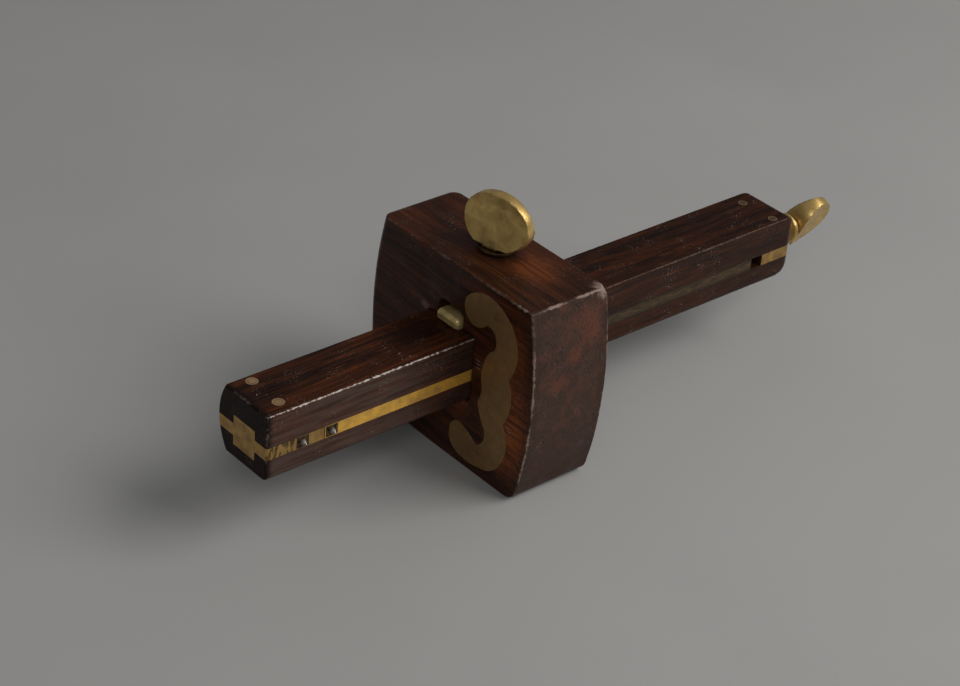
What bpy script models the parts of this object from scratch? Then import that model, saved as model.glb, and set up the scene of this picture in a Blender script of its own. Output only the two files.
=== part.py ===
"""A mortise marking gauge.

A rosewood fence slides on a split rosewood stem and is held by a thumbscrew that bears on a brass shoe.
Brass fills the split: a block at each end and a long slide between them. One steel spur is fixed in the
front block. The other rides in the slide, which a second thumbscrew draws along the stem.

Metres, +Z up. The stem lies along X with its spurs at the -X end, the screws' axes are at Y = 0, and the
fence stands on Z = 0.
"""

import math

import bmesh
import bpy
from mathutils import Matrix, Vector

MM = 0.001
GAP = 0.3 * MM  # clearance between pieces that touch

# Places along the gauge
OVERALL_LENGTH = 227.34 * MM
STEM_FRONT = -OVERALL_LENGTH / 2
STEM_LENGTH = 202.4 * MM
STEM_REAR = STEM_FRONT + STEM_LENGTH
CORE_HEIGHT = 31.0 * MM  # height of the adjusting screw's axis

# Stem section: flat on the spur side, bowed on the other
STEM_SPUR_FACE = -10.2 * MM
STEM_TOP = CORE_HEIGHT + 12.0 * MM
STEM_BOTTOM = CORE_HEIGHT - 9.0 * MM
BOW_TOP = 9.1 * MM
BOW_MIDDLE = 12.0 * MM
BOW_BOTTOM = 8.1 * MM
LOWER_ARRIS = 2.0 * MM
UPPER_ARRIS = 0.5 * MM
FRONT_RIM = 0.7 * MM
REAR_TOP_DOME = (3.9 * MM, 8.0 * MM)  # along the stem, down from its top
REAR_BOTTOM_DOME = (6.2 * MM, 7.0 * MM)

# Brass in the split
STRIP_HALF = 1.88 * MM
CORE_HALF_WIDTH = 4.8 * MM
CORE_HALF_HEIGHT = 4.7 * MM
FRONT_BLOCK_LENGTH = 19.2 * MM
SLIDE_START = STEM_FRONT + FRONT_BLOCK_LENGTH + GAP
SLIDE_END = STEM_FRONT + 184.0 * MM
REAR_BLOCK_START = STEM_FRONT + 188.7 * MM

# Steel spurs
SPUR_LENGTH = 4.0 * MM
SPUR_DEPTH = 5.0 * MM
SPUR_HALF_HEIGHT = 1.7 * MM
SPUR_TIP = 2.0 * MM
SPUR_TIP_RADIUS = 1.1 * MM
FIXED_SPUR_START = STEM_FRONT + 10.0 * MM
MOVING_SPUR_START = SLIDE_START + 0.3 * MM

# Rivets: distance from the nearer stem end, then Y
RIVET_HEAD_DEPTH = 1.2 * MM
FRONT_RIVETS = {"left": (7.0 * MM, 6.6 * MM), "right": (7.0 * MM, -5.4 * MM)}
FRONT_RIVET_RADII = (1.9 * MM, 1.2 * MM)  # head, shank
REAR_RIVETS = {"left": (9.1 * MM, 4.7 * MM), "right": (8.4 * MM, -7.6 * MM)}
REAR_RIVET_RADII = (1.5 * MM, 1.0 * MM)

# Fence
FENCE_FRONT = STEM_FRONT + 70.7 * MM
FENCE_THICKNESS = 27.5 * MM
FENCE_REAR = FENCE_FRONT + FENCE_THICKNESS
FENCE_HEIGHT = 62.5 * MM
FENCE_HALF_TOP = 32.7 * MM
FENCE_HALF_WIDEST = 36.3 * MM
FENCE_HALF_BOTTOM = 31.8 * MM
FENCE_FOOT_ROUND = 4.0 * MM
FENCE_BACK_ARRIS = 3.0 * MM

# Shoe and lock screw
SHOE_HALF_WIDTH = 4.8 * MM
SHOE_BOTTOM = STEM_TOP + GAP
SHOE_HEIGHT = 3.7 * MM
SHOE_FRONT = FENCE_FRONT - 3.1 * MM
SHOE_REAR = FENCE_REAR + 2.4 * MM
SHOE_LIFT = 1.5 * MM
CHANNEL_HALF_WIDTH = SHOE_HALF_WIDTH + 0.4 * MM
CHANNEL_TOP = SHOE_BOTTOM + SHOE_HEIGHT + SHOE_LIFT + 0.4 * MM
LOCK_X = STEM_FRONT + 86.0 * MM
LOCK_SHANK_RADIUS = 2.6 * MM
BUSH_RADIUS = 4.2 * MM
BUSH_FLANGE_RADIUS = 5.5 * MM
BUSH_FLANGE_HEIGHT = 1.2 * MM
LOCK_SEAT = FENCE_HEIGHT + 0.2 * MM + BUSH_FLANGE_HEIGHT + GAP
LOCK_TOP = 80.0 * MM
LOCK_HEAD_TURN = math.radians(12.9)

# Adjusting screw
SCREW_RADIUS = 1.9 * MM
SCREW_BORE = 2.15 * MM
SCREW_INNER_END = STEM_FRONT + 172.0 * MM
COLLAR_START = STEM_REAR + 7.34 * MM
COLLAR_RADIUS = 4.8 * MM
COLLAR_LENGTH = 1.5 * MM
SWIVEL_X = STEM_FRONT + 177.0 * MM
SWIVEL_PIN_RADIUS = 0.7 * MM
SWIVEL_PIN_OFFSET = 2.1 * MM
GROOVE_RADIUS = 1.15 * MM
GROOVE_HALF = 1.0 * MM
ADJUST_HEAD_TURN = math.radians(116.0)

# Thumb heads: oval, dished on both faces
HEAD_HALF_WIDTH = 11.1 * MM
HEAD_HALF_HEIGHT = 8.6 * MM
HEAD_NECK_RADIUS = 4.5 * MM
HEAD_NECK_HEIGHT = 0.35 * MM
HEAD_LIP = 0.25 * MM  # from the neck up to the oval
DISH_RADIUS = 24.0 * MM
DISH_WEB_HALF = 1.45 * MM
DISH_RISE = 4.0 * MM
ADJUST_HEAD_SCALE = 0.907

# Brass plate on the fence
PLATE_THICKNESS = 1.5 * MM
PLATE_FIT = 0.25 * MM
PLATE_PIN_RADIUS = 0.9 * MM
PLATE_PIN_LENGTH = 9.0 * MM
PLATE_PINS = {"upper": (-19.2 * MM, 54.6 * MM), "lower": (-16.3 * MM, 8.4 * MM)}


def clear_scene():
    for obj in list(bpy.data.objects):
        bpy.data.objects.remove(obj, do_unlink=True)


def make_material(name, colour, roughness, metallic):
    material = bpy.data.materials.new(name)
    material.use_nodes = True
    shader = material.node_tree.nodes["Principled BSDF"]
    shader.inputs["Base Color"].default_value = (*colour, 1.0)
    shader.inputs["Roughness"].default_value = roughness
    shader.inputs["Metallic"].default_value = metallic
    return material


def to_object(name, mesh_builder, material=None, location=(0, 0, 0)):
    """A linked object from a bmesh, its faces turned outwards."""
    bmesh.ops.recalc_face_normals(mesh_builder, faces=mesh_builder.faces)
    mesh = bpy.data.meshes.new(name)
    mesh_builder.to_mesh(mesh)
    mesh_builder.free()
    obj = bpy.data.objects.new(name, mesh)
    obj.location = location
    bpy.context.scene.collection.objects.link(obj)
    if material:
        mesh.materials.append(material)
    return obj


def as_guide(obj):
    """Marks an object as a cutter that isn't part of the gauge."""
    obj.hide_render = True
    obj.display_type = "WIRE"
    return obj


def combine(obj, other, operation):
    modifier = obj.modifiers.new(other.name, "BOOLEAN")
    modifier.operation = operation
    modifier.solver = "EXACT"
    modifier.object = other


def smooth(obj, degrees=30):
    obj.data.shade_smooth()
    obj.data.set_sharp_from_angle(angle=math.radians(degrees))


def arc(start, via, end, steps):
    """Points on the circle through three points, from start to just before end."""
    (ax, ay), (bx, by), (cx, cy) = start, via, end
    d = 2 * (ax * (by - cy) + bx * (cy - ay) + cx * (ay - by))
    a2, b2, c2 = ax * ax + ay * ay, bx * bx + by * by, cx * cx + cy * cy
    ux = (a2 * (by - cy) + b2 * (cy - ay) + c2 * (ay - by)) / d
    uy = (a2 * (cx - bx) + b2 * (ax - cx) + c2 * (bx - ax)) / d
    radius = math.hypot(ax - ux, ay - uy)
    first, middle, last = (math.atan2(y - uy, x - ux) for x, y in (start, via, end))
    sweep = (last - first) % math.tau
    if (middle - first) % math.tau > sweep:
        sweep -= math.tau
    angles = (first + sweep * i / steps for i in range(steps))
    return [(ux + radius * math.cos(t), uy + radius * math.sin(t)) for t in angles]


def corner(centre, radius, start_degrees, steps=3):
    """Points round a quarter circle, ends included."""
    angles = (math.radians(start_degrees + 90 * i / steps) for i in range(steps + 1))
    return [(centre[0] + radius * math.cos(t), centre[1] + radius * math.sin(t)) for t in angles]


def grown(outline, distance):
    """A counter-clockwise outline moved outwards by a distance."""
    result = []
    count = len(outline)
    for i, here in enumerate(outline):
        point = Vector(here)
        before = (point - Vector(outline[i - 1])).normalized()
        after = (Vector(outline[(i + 1) % count]) - point).normalized()
        normal = Vector((before.y, -before.x)) + Vector((after.y, -after.x))
        spread = max(normal.length_squared / 2, 0.5)
        result.append(tuple(point + normal * (distance / spread)))
    return result


def prism(outline, start, end):
    """A bmesh of a Y, Z outline drawn along X."""
    builder = bmesh.new()
    verts = [builder.verts.new((start, y, z)) for y, z in outline]
    face = builder.faces.new(verts)
    grown_part = bmesh.ops.extrude_face_region(builder, geom=[face])
    moved = [item for item in grown_part["geom"] if isinstance(item, bmesh.types.BMVert)]
    bmesh.ops.translate(builder, verts=moved, vec=(end - start, 0, 0))
    return builder


def block(low, high):
    """A bmesh box between two corners."""
    builder = bmesh.new()
    bmesh.ops.create_cube(builder, size=1.0)
    size = Vector(high) - Vector(low)
    centre = (Vector(high) + Vector(low)) / 2
    bmesh.ops.scale(builder, vec=size, verts=builder.verts)
    bmesh.ops.translate(builder, vec=centre, verts=builder.verts)
    return builder


def rod(radius, start, end, segments=24):
    """A bmesh cylinder between two points."""
    builder = bmesh.new()
    axis = Vector(end) - Vector(start)
    turn = axis.to_track_quat("Z", "Y").to_matrix().to_4x4()
    place = Matrix.Translation((Vector(start) + Vector(end)) / 2) @ turn
    bmesh.ops.create_cone(
        builder, cap_ends=True, segments=segments,
        radius1=radius, radius2=radius, depth=axis.length, matrix=place,
    )
    return builder


def turned(profile, segments=40):
    """A bmesh turned about Z from (radius, height) points that start and end on the axis."""
    builder = bmesh.new()
    verts = [builder.verts.new((radius, 0, height)) for radius, height in profile]
    edges = [builder.edges.new(pair) for pair in zip(verts, verts[1:])]
    bmesh.ops.spin(
        builder, geom=verts + edges, cent=(0, 0, 0), axis=(0, 0, 1),
        angle=math.tau, steps=segments, use_merge=True,
    )
    bmesh.ops.remove_doubles(builder, verts=builder.verts, dist=0.001 * MM)
    return builder


def stem_section(grow=0.0):
    """The stem's Y, Z outline, counter-clockwise seen from the far end."""
    face = STEM_SPUR_FACE - grow
    low = STEM_BOTTOM - grow
    high = STEM_TOP + grow
    bow = arc(
        (BOW_BOTTOM + grow, low), (BOW_MIDDLE + grow, CORE_HEIGHT + MM), (BOW_TOP + grow, high), 12
    )
    lower = corner((face + LOWER_ARRIS, low + LOWER_ARRIS), LOWER_ARRIS, 180)
    upper = corner((face + UPPER_ARRIS, high - UPPER_ARRIS), UPPER_ARRIS, 90, 2)
    return lower + bow + [(BOW_TOP + grow, high)] + upper


def stem_blank():
    """The whole stem as one guide solid, domed at the far end; wood and brass are cut from it."""
    builder = prism(stem_section(), STEM_FRONT, STEM_REAR)
    rim = [e for e in builder.edges if all(v.co.x < STEM_FRONT + MM for v in e.verts)]
    bmesh.ops.bevel(
        builder, geom=rim, offset=FRONT_RIM, affect="EDGES", segments=2, profile=0.5, material=-1
    )
    blank = as_guide(to_object("stem_blank", builder))

    low, high, far = STEM_BOTTOM - MM, STEM_TOP + MM, STEM_REAR
    top_run, top_drop = REAR_TOP_DOME
    foot_run, foot_rise = REAR_BOTTOM_DOME
    quarter = [math.pi / 2 * i / 6 for i in range(7)]
    foot = [
        (far - foot_run * (1 - math.sin(t)), STEM_BOTTOM + foot_rise * (1 - math.cos(t)))
        for t in quarter
    ]
    crown = [
        (far - top_run * (1 - math.cos(t)), STEM_TOP - top_drop * (1 - math.sin(t)))
        for t in quarter
    ]
    side = [(STEM_FRONT - MM, low), (foot[0][0], low)] + foot + crown
    side += [(crown[-1][0], high), (STEM_FRONT - MM, high)]
    profile = bmesh.new()
    verts = [profile.verts.new((x, -BOW_MIDDLE - 5 * MM, z)) for x, z in side]
    face = profile.faces.new(verts)
    drawn = bmesh.ops.extrude_face_region(profile, geom=[face])
    moved = [item for item in drawn["geom"] if isinstance(item, bmesh.types.BMVert)]
    bmesh.ops.translate(profile, verts=moved, vec=(0, 2 * BOW_MIDDLE + 10 * MM, 0))
    combine(blank, as_guide(to_object("stem_end_profile", profile)), "INTERSECT")
    return blank


def cross_outline():
    """The brass's section in the split: a full-width strip with a square core."""
    wide, half, tall = 2 * BOW_MIDDLE, CORE_HALF_WIDTH, CORE_HALF_HEIGHT
    right = [
        (half, -tall), (half, -STRIP_HALF), (wide, -STRIP_HALF),
        (wide, STRIP_HALF), (half, STRIP_HALF), (half, tall),
    ]
    outline = right + [(-y, z) for y, z in reversed(right)]
    return [(y, z + CORE_HEIGHT) for y, z in outline]


def wood_outline(side):
    """The room for one wooden half: side is 1 above the brass and -1 below it."""
    wide, far = 2 * BOW_MIDDLE, 3 * BOW_MIDDLE
    half = CORE_HALF_WIDTH + GAP
    strip = STRIP_HALF + GAP
    tall = CORE_HALF_HEIGHT + GAP
    outline = [
        (-wide, strip), (-half, strip), (-half, tall), (half, tall), (half, strip),
        (wide, strip), (wide, far), (-wide, far),
    ]
    return [(y, CORE_HEIGHT + side * z) for y, z in outline]


def rivet(name, place, radii, material):
    """A rivet through the stem, with a countersunk head, flush above and below."""
    x, y = place
    head, shank = radii
    profile = [
        (0, STEM_BOTTOM + 0.05 * MM), (shank, STEM_BOTTOM + 0.05 * MM),
        (shank, STEM_TOP - RIVET_HEAD_DEPTH), (head, STEM_TOP - RIVET_HEAD_DEPTH / 2),
        (head, STEM_TOP), (0, STEM_TOP),
    ]
    obj = to_object(name, turned(profile, 24), material, (x, y, 0))
    smooth(obj)
    room = [
        (0, STEM_BOTTOM - MM), (shank + 0.2 * MM, STEM_BOTTOM - MM),
        (shank + 0.2 * MM, STEM_TOP - RIVET_HEAD_DEPTH - 0.2 * MM),
        (head + 0.2 * MM, STEM_TOP - RIVET_HEAD_DEPTH / 2 - 0.1 * MM),
        (head + 0.2 * MM, STEM_TOP + MM), (0, STEM_TOP + MM),
    ]
    return as_guide(to_object(name + "_room", turned(room, 24), None, (x, y, 0)))


def spur(name, start, material):
    """A steel insert in the spur face with a conical marking point. Returns the room it needs."""
    centre = start + SPUR_LENGTH / 2
    low = (start, STEM_SPUR_FACE, CORE_HEIGHT - SPUR_HALF_HEIGHT)
    high = (start + SPUR_LENGTH, STEM_SPUR_FACE + SPUR_DEPTH, CORE_HEIGHT + SPUR_HALF_HEIGHT)
    obj = to_object(name, block(low, high), material)
    point = bmesh.new()
    root = SPUR_TIP_RADIUS
    place = Matrix.Translation((centre, STEM_SPUR_FACE - SPUR_TIP / 2 + root / 2, CORE_HEIGHT))
    bmesh.ops.create_cone(
        point, cap_ends=True, segments=20, radius1=SPUR_TIP_RADIUS * (1 + root / SPUR_TIP),
        radius2=0.05 * MM, depth=SPUR_TIP + root, matrix=place @ Matrix.Rotation(math.pi / 2, 4, "X"),
    )
    combine(obj, as_guide(to_object(name + "_point", point)), "UNION")
    room_low = (start - GAP, STEM_SPUR_FACE - MM, CORE_HEIGHT - STRIP_HALF - MM)
    room_high = (
        start + SPUR_LENGTH + GAP, STEM_SPUR_FACE + SPUR_DEPTH + GAP, CORE_HEIGHT + STRIP_HALF + MM
    )
    return as_guide(to_object(name + "_room", block(room_low, room_high)))


def head_points(scale, seat, crown):
    """The turned outline of a thumb head, from the seat's neck over the oval to the axis."""
    neck = HEAD_NECK_RADIUS * scale
    half_width = HEAD_HALF_WIDTH * scale
    half_height = HEAD_HALF_HEIGHT * scale
    flare = seat + HEAD_NECK_HEIGHT * scale
    centre = crown - half_height
    start = math.asin((flare + HEAD_LIP * scale - centre) / half_height)
    angles = [start + (math.pi / 2 - start) * i / 18 for i in range(18)]
    oval = [(half_width * math.cos(t), centre + half_height * math.sin(t)) for t in angles]
    return [(neck, seat), (neck, flare)] + oval + [(0, crown)]


def dish(obj, scale, crown, matrix):
    """Two cylinder cuts that leave the head thin at its crown and thick at its neck."""
    radius = DISH_RADIUS * scale
    web = DISH_WEB_HALF * scale
    height = crown - HEAD_HALF_HEIGHT * scale + DISH_RISE * scale
    reach = 2 * HEAD_HALF_WIDTH
    for side in (1, -1):
        x = side * (radius + web)
        cutter = to_object(
            f"{obj.name}_dish_{side}", rod(radius, (x, -reach, height), (x, reach, height), 96)
        )
        cutter.matrix_world = matrix
        combine(obj, as_guide(cutter), "DIFFERENCE")


def lock_screw(material):
    """The thumbscrew on the fence; its origin is on its own axis at the shoe."""
    base = SHOE_BOTTOM + SHOE_HEIGHT + GAP
    seat = LOCK_SEAT - base
    crown = LOCK_TOP - base
    profile = [(0, 0), (LOCK_SHANK_RADIUS, 0), (LOCK_SHANK_RADIUS, seat)]
    profile += head_points(1.0, seat, crown)
    obj = to_object("lock_screw", turned(profile), material)
    matrix = Matrix.Translation((LOCK_X, 0, base)) @ Matrix.Rotation(LOCK_HEAD_TURN, 4, "Z")
    obj.matrix_world = matrix
    dish(obj, 1.0, crown, matrix)
    smooth(obj)
    return obj


def adjust_screw(material):
    """The screw that draws the slide; its origin is on its own axis at its grooved end."""
    length = COLLAR_START - SCREW_INNER_END
    groove = SWIVEL_X - SCREW_INNER_END
    seat = length + COLLAR_LENGTH
    crown = OVERALL_LENGTH / 2 - SCREW_INNER_END
    profile = [
        (0, 0), (SCREW_RADIUS, 0), (SCREW_RADIUS, groove - GROOVE_HALF),
        (GROOVE_RADIUS, groove - GROOVE_HALF), (GROOVE_RADIUS, groove + GROOVE_HALF),
        (SCREW_RADIUS, groove + GROOVE_HALF), (SCREW_RADIUS, length),
        (COLLAR_RADIUS, length), (COLLAR_RADIUS, seat),
    ]
    profile += head_points(ADJUST_HEAD_SCALE, seat, crown)
    obj = to_object("adjust_screw", turned(profile), material)
    lay_down = Matrix.Rotation(math.pi / 2, 4, "Y")
    # The dishes face local X, so the head's width lies along local Y before this turn.
    turn = Matrix.Rotation(ADJUST_HEAD_TURN, 4, "X")
    matrix = Matrix.Translation((SCREW_INNER_END, 0, CORE_HEIGHT)) @ turn @ lay_down
    obj.matrix_world = matrix
    dish(obj, ADJUST_HEAD_SCALE, crown, matrix)
    smooth(obj)
    return obj


def plate_outline():
    """The scrolled plate in Y, Z, counter-clockwise, as arcs that meet at soft steps and cusps."""
    edge, core = STEM_SPUR_FACE / MM, CORE_HEIGHT / MM
    arcs = [
        ((0.4, 16.3), (4.7, 20.0), (3.3, 25.0), 6),
        ((3.3, 25.0), (0.8, 26.9), (-4.5, 28.4), 4),
        ((-4.5, 28.4), (-12.1, 26.4), (-18.5, 15.5), 9),
        ((-18.5, 15.5), (-18.2, 12.8), (-15.8, 7.0), 4),
        ((-15.8, 7.0), (-17.4, 1.0), (-15.1, -8.4), 6),
        ((-15.1, -8.4), (-17.2, -15.0), (-15.5, -21.7), 5),
        ((-15.5, -21.7), (-12.0, -26.0), (-6.6, -28.0), 5),
        ((-6.6, -28.0), (-2.0, -28.7), (1.9, -28.3), 3),
        ((1.9, -28.3), (5.5, -26.8), (7.1, -22.0), 5),
        ((7.1, -22.0), (6.3, -19.3), (2.9, -17.3), 4),
        ((2.9, -17.3), (0.0, -18.3), (-4.8, -21.0), 4),
        ((-4.8, -21.0), (-7.6, -18.0), (-7.7, -14.6), 4),
        ((-7.7, -14.6), (-6.0, -12.0), (-3.7, -6.4), 4),
        ((-4.0, -6.0), (-5.0, -3.0), (-4.8, -0.5), 3),
        ((-4.8, -0.5), (-4.6, 5.5), (-7.3, 11.6), 5),
        ((-7.3, 11.6), (-8.8, 12.9), (-9.3, 15.5), 3),
        ((-9.3, 15.5), (-8.4, 18.0), (-4.9, 19.0), 4),
        ((-4.9, 19.0), (-2.5, 17.0), (0.4, 16.3), 4),
    ]
    points = []
    for start, via, end, steps in arcs:
        points += arc(start, via, end, steps)
    return [((y + edge) * MM, (z + core) * MM) for y, z in points]


def wear_plate(material, pin_material):
    """The plate and its two pins. Returns the rooms they need in the wood."""
    outline = plate_outline()
    back = FENCE_FRONT + PLATE_THICKNESS
    plate = to_object("wear_plate", prism(outline, FENCE_FRONT, back), material)
    recess = prism(grown(outline, PLATE_FIT), FENCE_FRONT - MM, back + PLATE_FIT)
    rooms = [as_guide(to_object("plate_recess", recess))]
    for name, (y, z) in PLATE_PINS.items():
        start, end = (FENCE_FRONT, y, z), (FENCE_FRONT + PLATE_PIN_LENGTH, y, z)
        pin = rod(PLATE_PIN_RADIUS, start, end, 20)
        smooth(to_object(f"wear_plate_pin_{name}", pin, pin_material))
        room_start, room_end = Vector(start) - Vector((MM, 0, 0)), Vector(end) + Vector((GAP, 0, 0))
        room = rod(PLATE_PIN_RADIUS + 0.2 * MM, room_start, room_end, 20)
        rooms.append(as_guide(to_object(f"plate_pin_room_{name}", room)))
        combine(plate, rooms[-1], "DIFFERENCE")
    return rooms


def lock_bush(material):
    """The threaded bush in the fence's top. Returns the room it needs."""
    flange = FENCE_HEIGHT + 0.2 * MM
    bore = LOCK_SHANK_RADIUS + GAP
    profile = [
        (bore, CHANNEL_TOP + 0.2 * MM), (BUSH_RADIUS, CHANNEL_TOP + 0.2 * MM), (BUSH_RADIUS, flange),
        (BUSH_FLANGE_RADIUS, flange), (BUSH_FLANGE_RADIUS, flange + BUSH_FLANGE_HEIGHT),
        (bore, flange + BUSH_FLANGE_HEIGHT), (bore, CHANNEL_TOP + 0.2 * MM),
    ]
    smooth(to_object("lock_bush", turned(profile, 32), material, (LOCK_X, 0, 0)))
    room = rod(
        BUSH_RADIUS + GAP, (LOCK_X, 0, CHANNEL_TOP - MM), (LOCK_X, 0, FENCE_HEIGHT + MM), 32
    )
    return as_guide(to_object("lock_bush_room", room))


def fence_block(material, rooms):
    """The stock: bowed sides, rounded foot, softened arrises on the side away from the spurs."""
    sides = arc(
        (FENCE_HALF_BOTTOM, 0), (FENCE_HALF_WIDEST, CORE_HEIGHT + MM), (FENCE_HALF_TOP, FENCE_HEIGHT), 14
    )
    sides.append((FENCE_HALF_TOP, FENCE_HEIGHT))
    outline = sides + [(-y, z) for y, z in reversed(sides)]
    builder = prism(outline, FENCE_FRONT, FENCE_REAR)
    feet = [
        e for e in builder.edges
        if all(v.co.z < MM / 2 for v in e.verts)
        and abs(e.verts[0].co.x - e.verts[1].co.x) > FENCE_THICKNESS / 2
    ]
    bmesh.ops.bevel(
        builder, geom=feet, offset=FENCE_FOOT_ROUND, affect="EDGES", segments=5, profile=0.5, material=-1
    )
    arrises = [
        e for e in builder.edges
        if all(v.co.y > FENCE_HALF_BOTTOM * 0.8 for v in e.verts)
        and abs(e.verts[0].co.x - e.verts[1].co.x) < MM
        and abs(e.verts[0].co.z - e.verts[1].co.z) > MM / 20
    ]
    bmesh.ops.bevel(
        builder, geom=arrises, offset=FENCE_BACK_ARRIS, affect="EDGES", segments=3, profile=0.5,
        material=-1,
    )
    obj = to_object("fence_block", builder, material)
    mortise = prism(stem_section(GAP), FENCE_FRONT - MM, FENCE_REAR + MM)
    combine(obj, as_guide(to_object("mortise", mortise)), "DIFFERENCE")
    channel = block(
        (FENCE_FRONT - MM, -CHANNEL_HALF_WIDTH, STEM_TOP - MM),
        (FENCE_REAR + MM, CHANNEL_HALF_WIDTH, CHANNEL_TOP),
    )
    combine(obj, as_guide(to_object("shoe_channel", channel)), "DIFFERENCE")
    for room in rooms:
        combine(obj, room, "DIFFERENCE")
    smooth(obj)


def pressure_shoe(material):
    """The bar that the lock screw presses on the stem, with its upper edges rounded."""
    builder = block(
        (SHOE_FRONT, -SHOE_HALF_WIDTH, SHOE_BOTTOM),
        (SHOE_REAR, SHOE_HALF_WIDTH, SHOE_BOTTOM + SHOE_HEIGHT),
    )
    upper = [e for e in builder.edges if all(v.co.z > SHOE_BOTTOM + SHOE_HEIGHT / 2 for v in e.verts)]
    bmesh.ops.bevel(
        builder, geom=upper, offset=1.6 * MM, affect="EDGES", segments=3, profile=0.5, material=-1
    )
    smooth(to_object("pressure_shoe", builder, material))


def stem_pieces(wood, brass, dull_brass, steel):
    """Both wooden halves, the brass between them, the rivets, the spurs and the swivel pin."""
    blank = stem_blank()
    rooms = {"front": [], "rear": []}
    for side, (inset, y) in FRONT_RIVETS.items():
        place = (STEM_FRONT + inset, y)
        rooms["front"].append(rivet(f"front_rivet_{side}", place, FRONT_RIVET_RADII, brass))
    for side, (inset, y) in REAR_RIVETS.items():
        place = (STEM_REAR - inset, y)
        rooms["rear"].append(rivet(f"rear_rivet_{side}", place, REAR_RIVET_RADII, dull_brass))
    fixed_room = spur("fixed_spur", FIXED_SPUR_START, steel)
    moving_room = spur("moving_spur", MOVING_SPUR_START, steel)

    for name, side in (("stem_upper", 1), ("stem_lower", -1)):
        half = to_object(name, prism(wood_outline(side), STEM_FRONT - MM, STEM_REAR + MM), wood)
        combine(half, blank, "INTERSECT")
        for room in rooms["front"] + rooms["rear"]:
            combine(half, room, "DIFFERENCE")
        smooth(half)

    cross = cross_outline()
    front = to_object(
        "front_block", prism(cross, STEM_FRONT - MM, STEM_FRONT + FRONT_BLOCK_LENGTH), brass
    )
    combine(front, blank, "INTERSECT")
    for room in rooms["front"] + [fixed_room]:
        combine(front, room, "DIFFERENCE")

    rear = to_object("rear_block", prism(cross, REAR_BLOCK_START, STEM_REAR + MM), brass)
    combine(rear, blank, "INTERSECT")
    bore = rod(
        SCREW_BORE, (REAR_BLOCK_START - MM, 0, CORE_HEIGHT), (STEM_REAR + MM, 0, CORE_HEIGHT)
    )
    bore = as_guide(to_object("nut_bore", bore))
    for room in rooms["rear"] + [bore]:
        combine(rear, room, "DIFFERENCE")

    slide = to_object("slide_bar", prism(cross, SLIDE_START, SLIDE_END), dull_brass)
    combine(slide, blank, "INTERSECT")
    combine(slide, moving_room, "DIFFERENCE")
    socket = rod(
        SCREW_BORE, (SCREW_INNER_END - GAP, 0, CORE_HEIGHT), (SLIDE_END + MM, 0, CORE_HEIGHT)
    )
    combine(slide, as_guide(to_object("swivel_socket", socket)), "DIFFERENCE")
    reach = CORE_HALF_HEIGHT - 0.2 * MM
    low = (SWIVEL_X, SWIVEL_PIN_OFFSET, CORE_HEIGHT - reach)
    high = (SWIVEL_X, SWIVEL_PIN_OFFSET, CORE_HEIGHT + reach)
    smooth(to_object("swivel_pin", rod(SWIVEL_PIN_RADIUS, low, high, 16), steel))
    over = Vector((0, 0, MM))
    pin_room = rod(SWIVEL_PIN_RADIUS + 0.2 * MM, Vector(low) - over, Vector(high) + over, 16)
    combine(slide, as_guide(to_object("swivel_pin_room", pin_room)), "DIFFERENCE")


def main():
    clear_scene()
    rosewood = make_material("rosewood", (0.06, 0.018, 0.010), 0.38, 0.0)
    dark_rosewood = make_material("dark_rosewood", (0.035, 0.012, 0.008), 0.35, 0.0)
    brass = make_material("brass", (0.52, 0.38, 0.14), 0.35, 1.0)
    dull_brass = make_material("dull_brass", (0.26, 0.20, 0.10), 0.5, 1.0)
    steel = make_material("steel", (0.12, 0.11, 0.10), 0.45, 1.0)

    rooms = wear_plate(dull_brass, brass)
    rooms.append(lock_bush(dull_brass))
    fence_block(rosewood, rooms)
    pressure_shoe(brass)
    lock_screw(brass)
    stem_pieces(dark_rosewood, brass, dull_brass, steel)
    adjust_screw(brass)


main()
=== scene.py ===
"""Looks for the mortise marking gauge: rosewood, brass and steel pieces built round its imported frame."""

import math
from functools import partialmethod

import bmesh
import bpy
from bpy.props import FloatProperty, FloatVectorProperty, PointerProperty
from mathutils import Matrix, Vector


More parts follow.
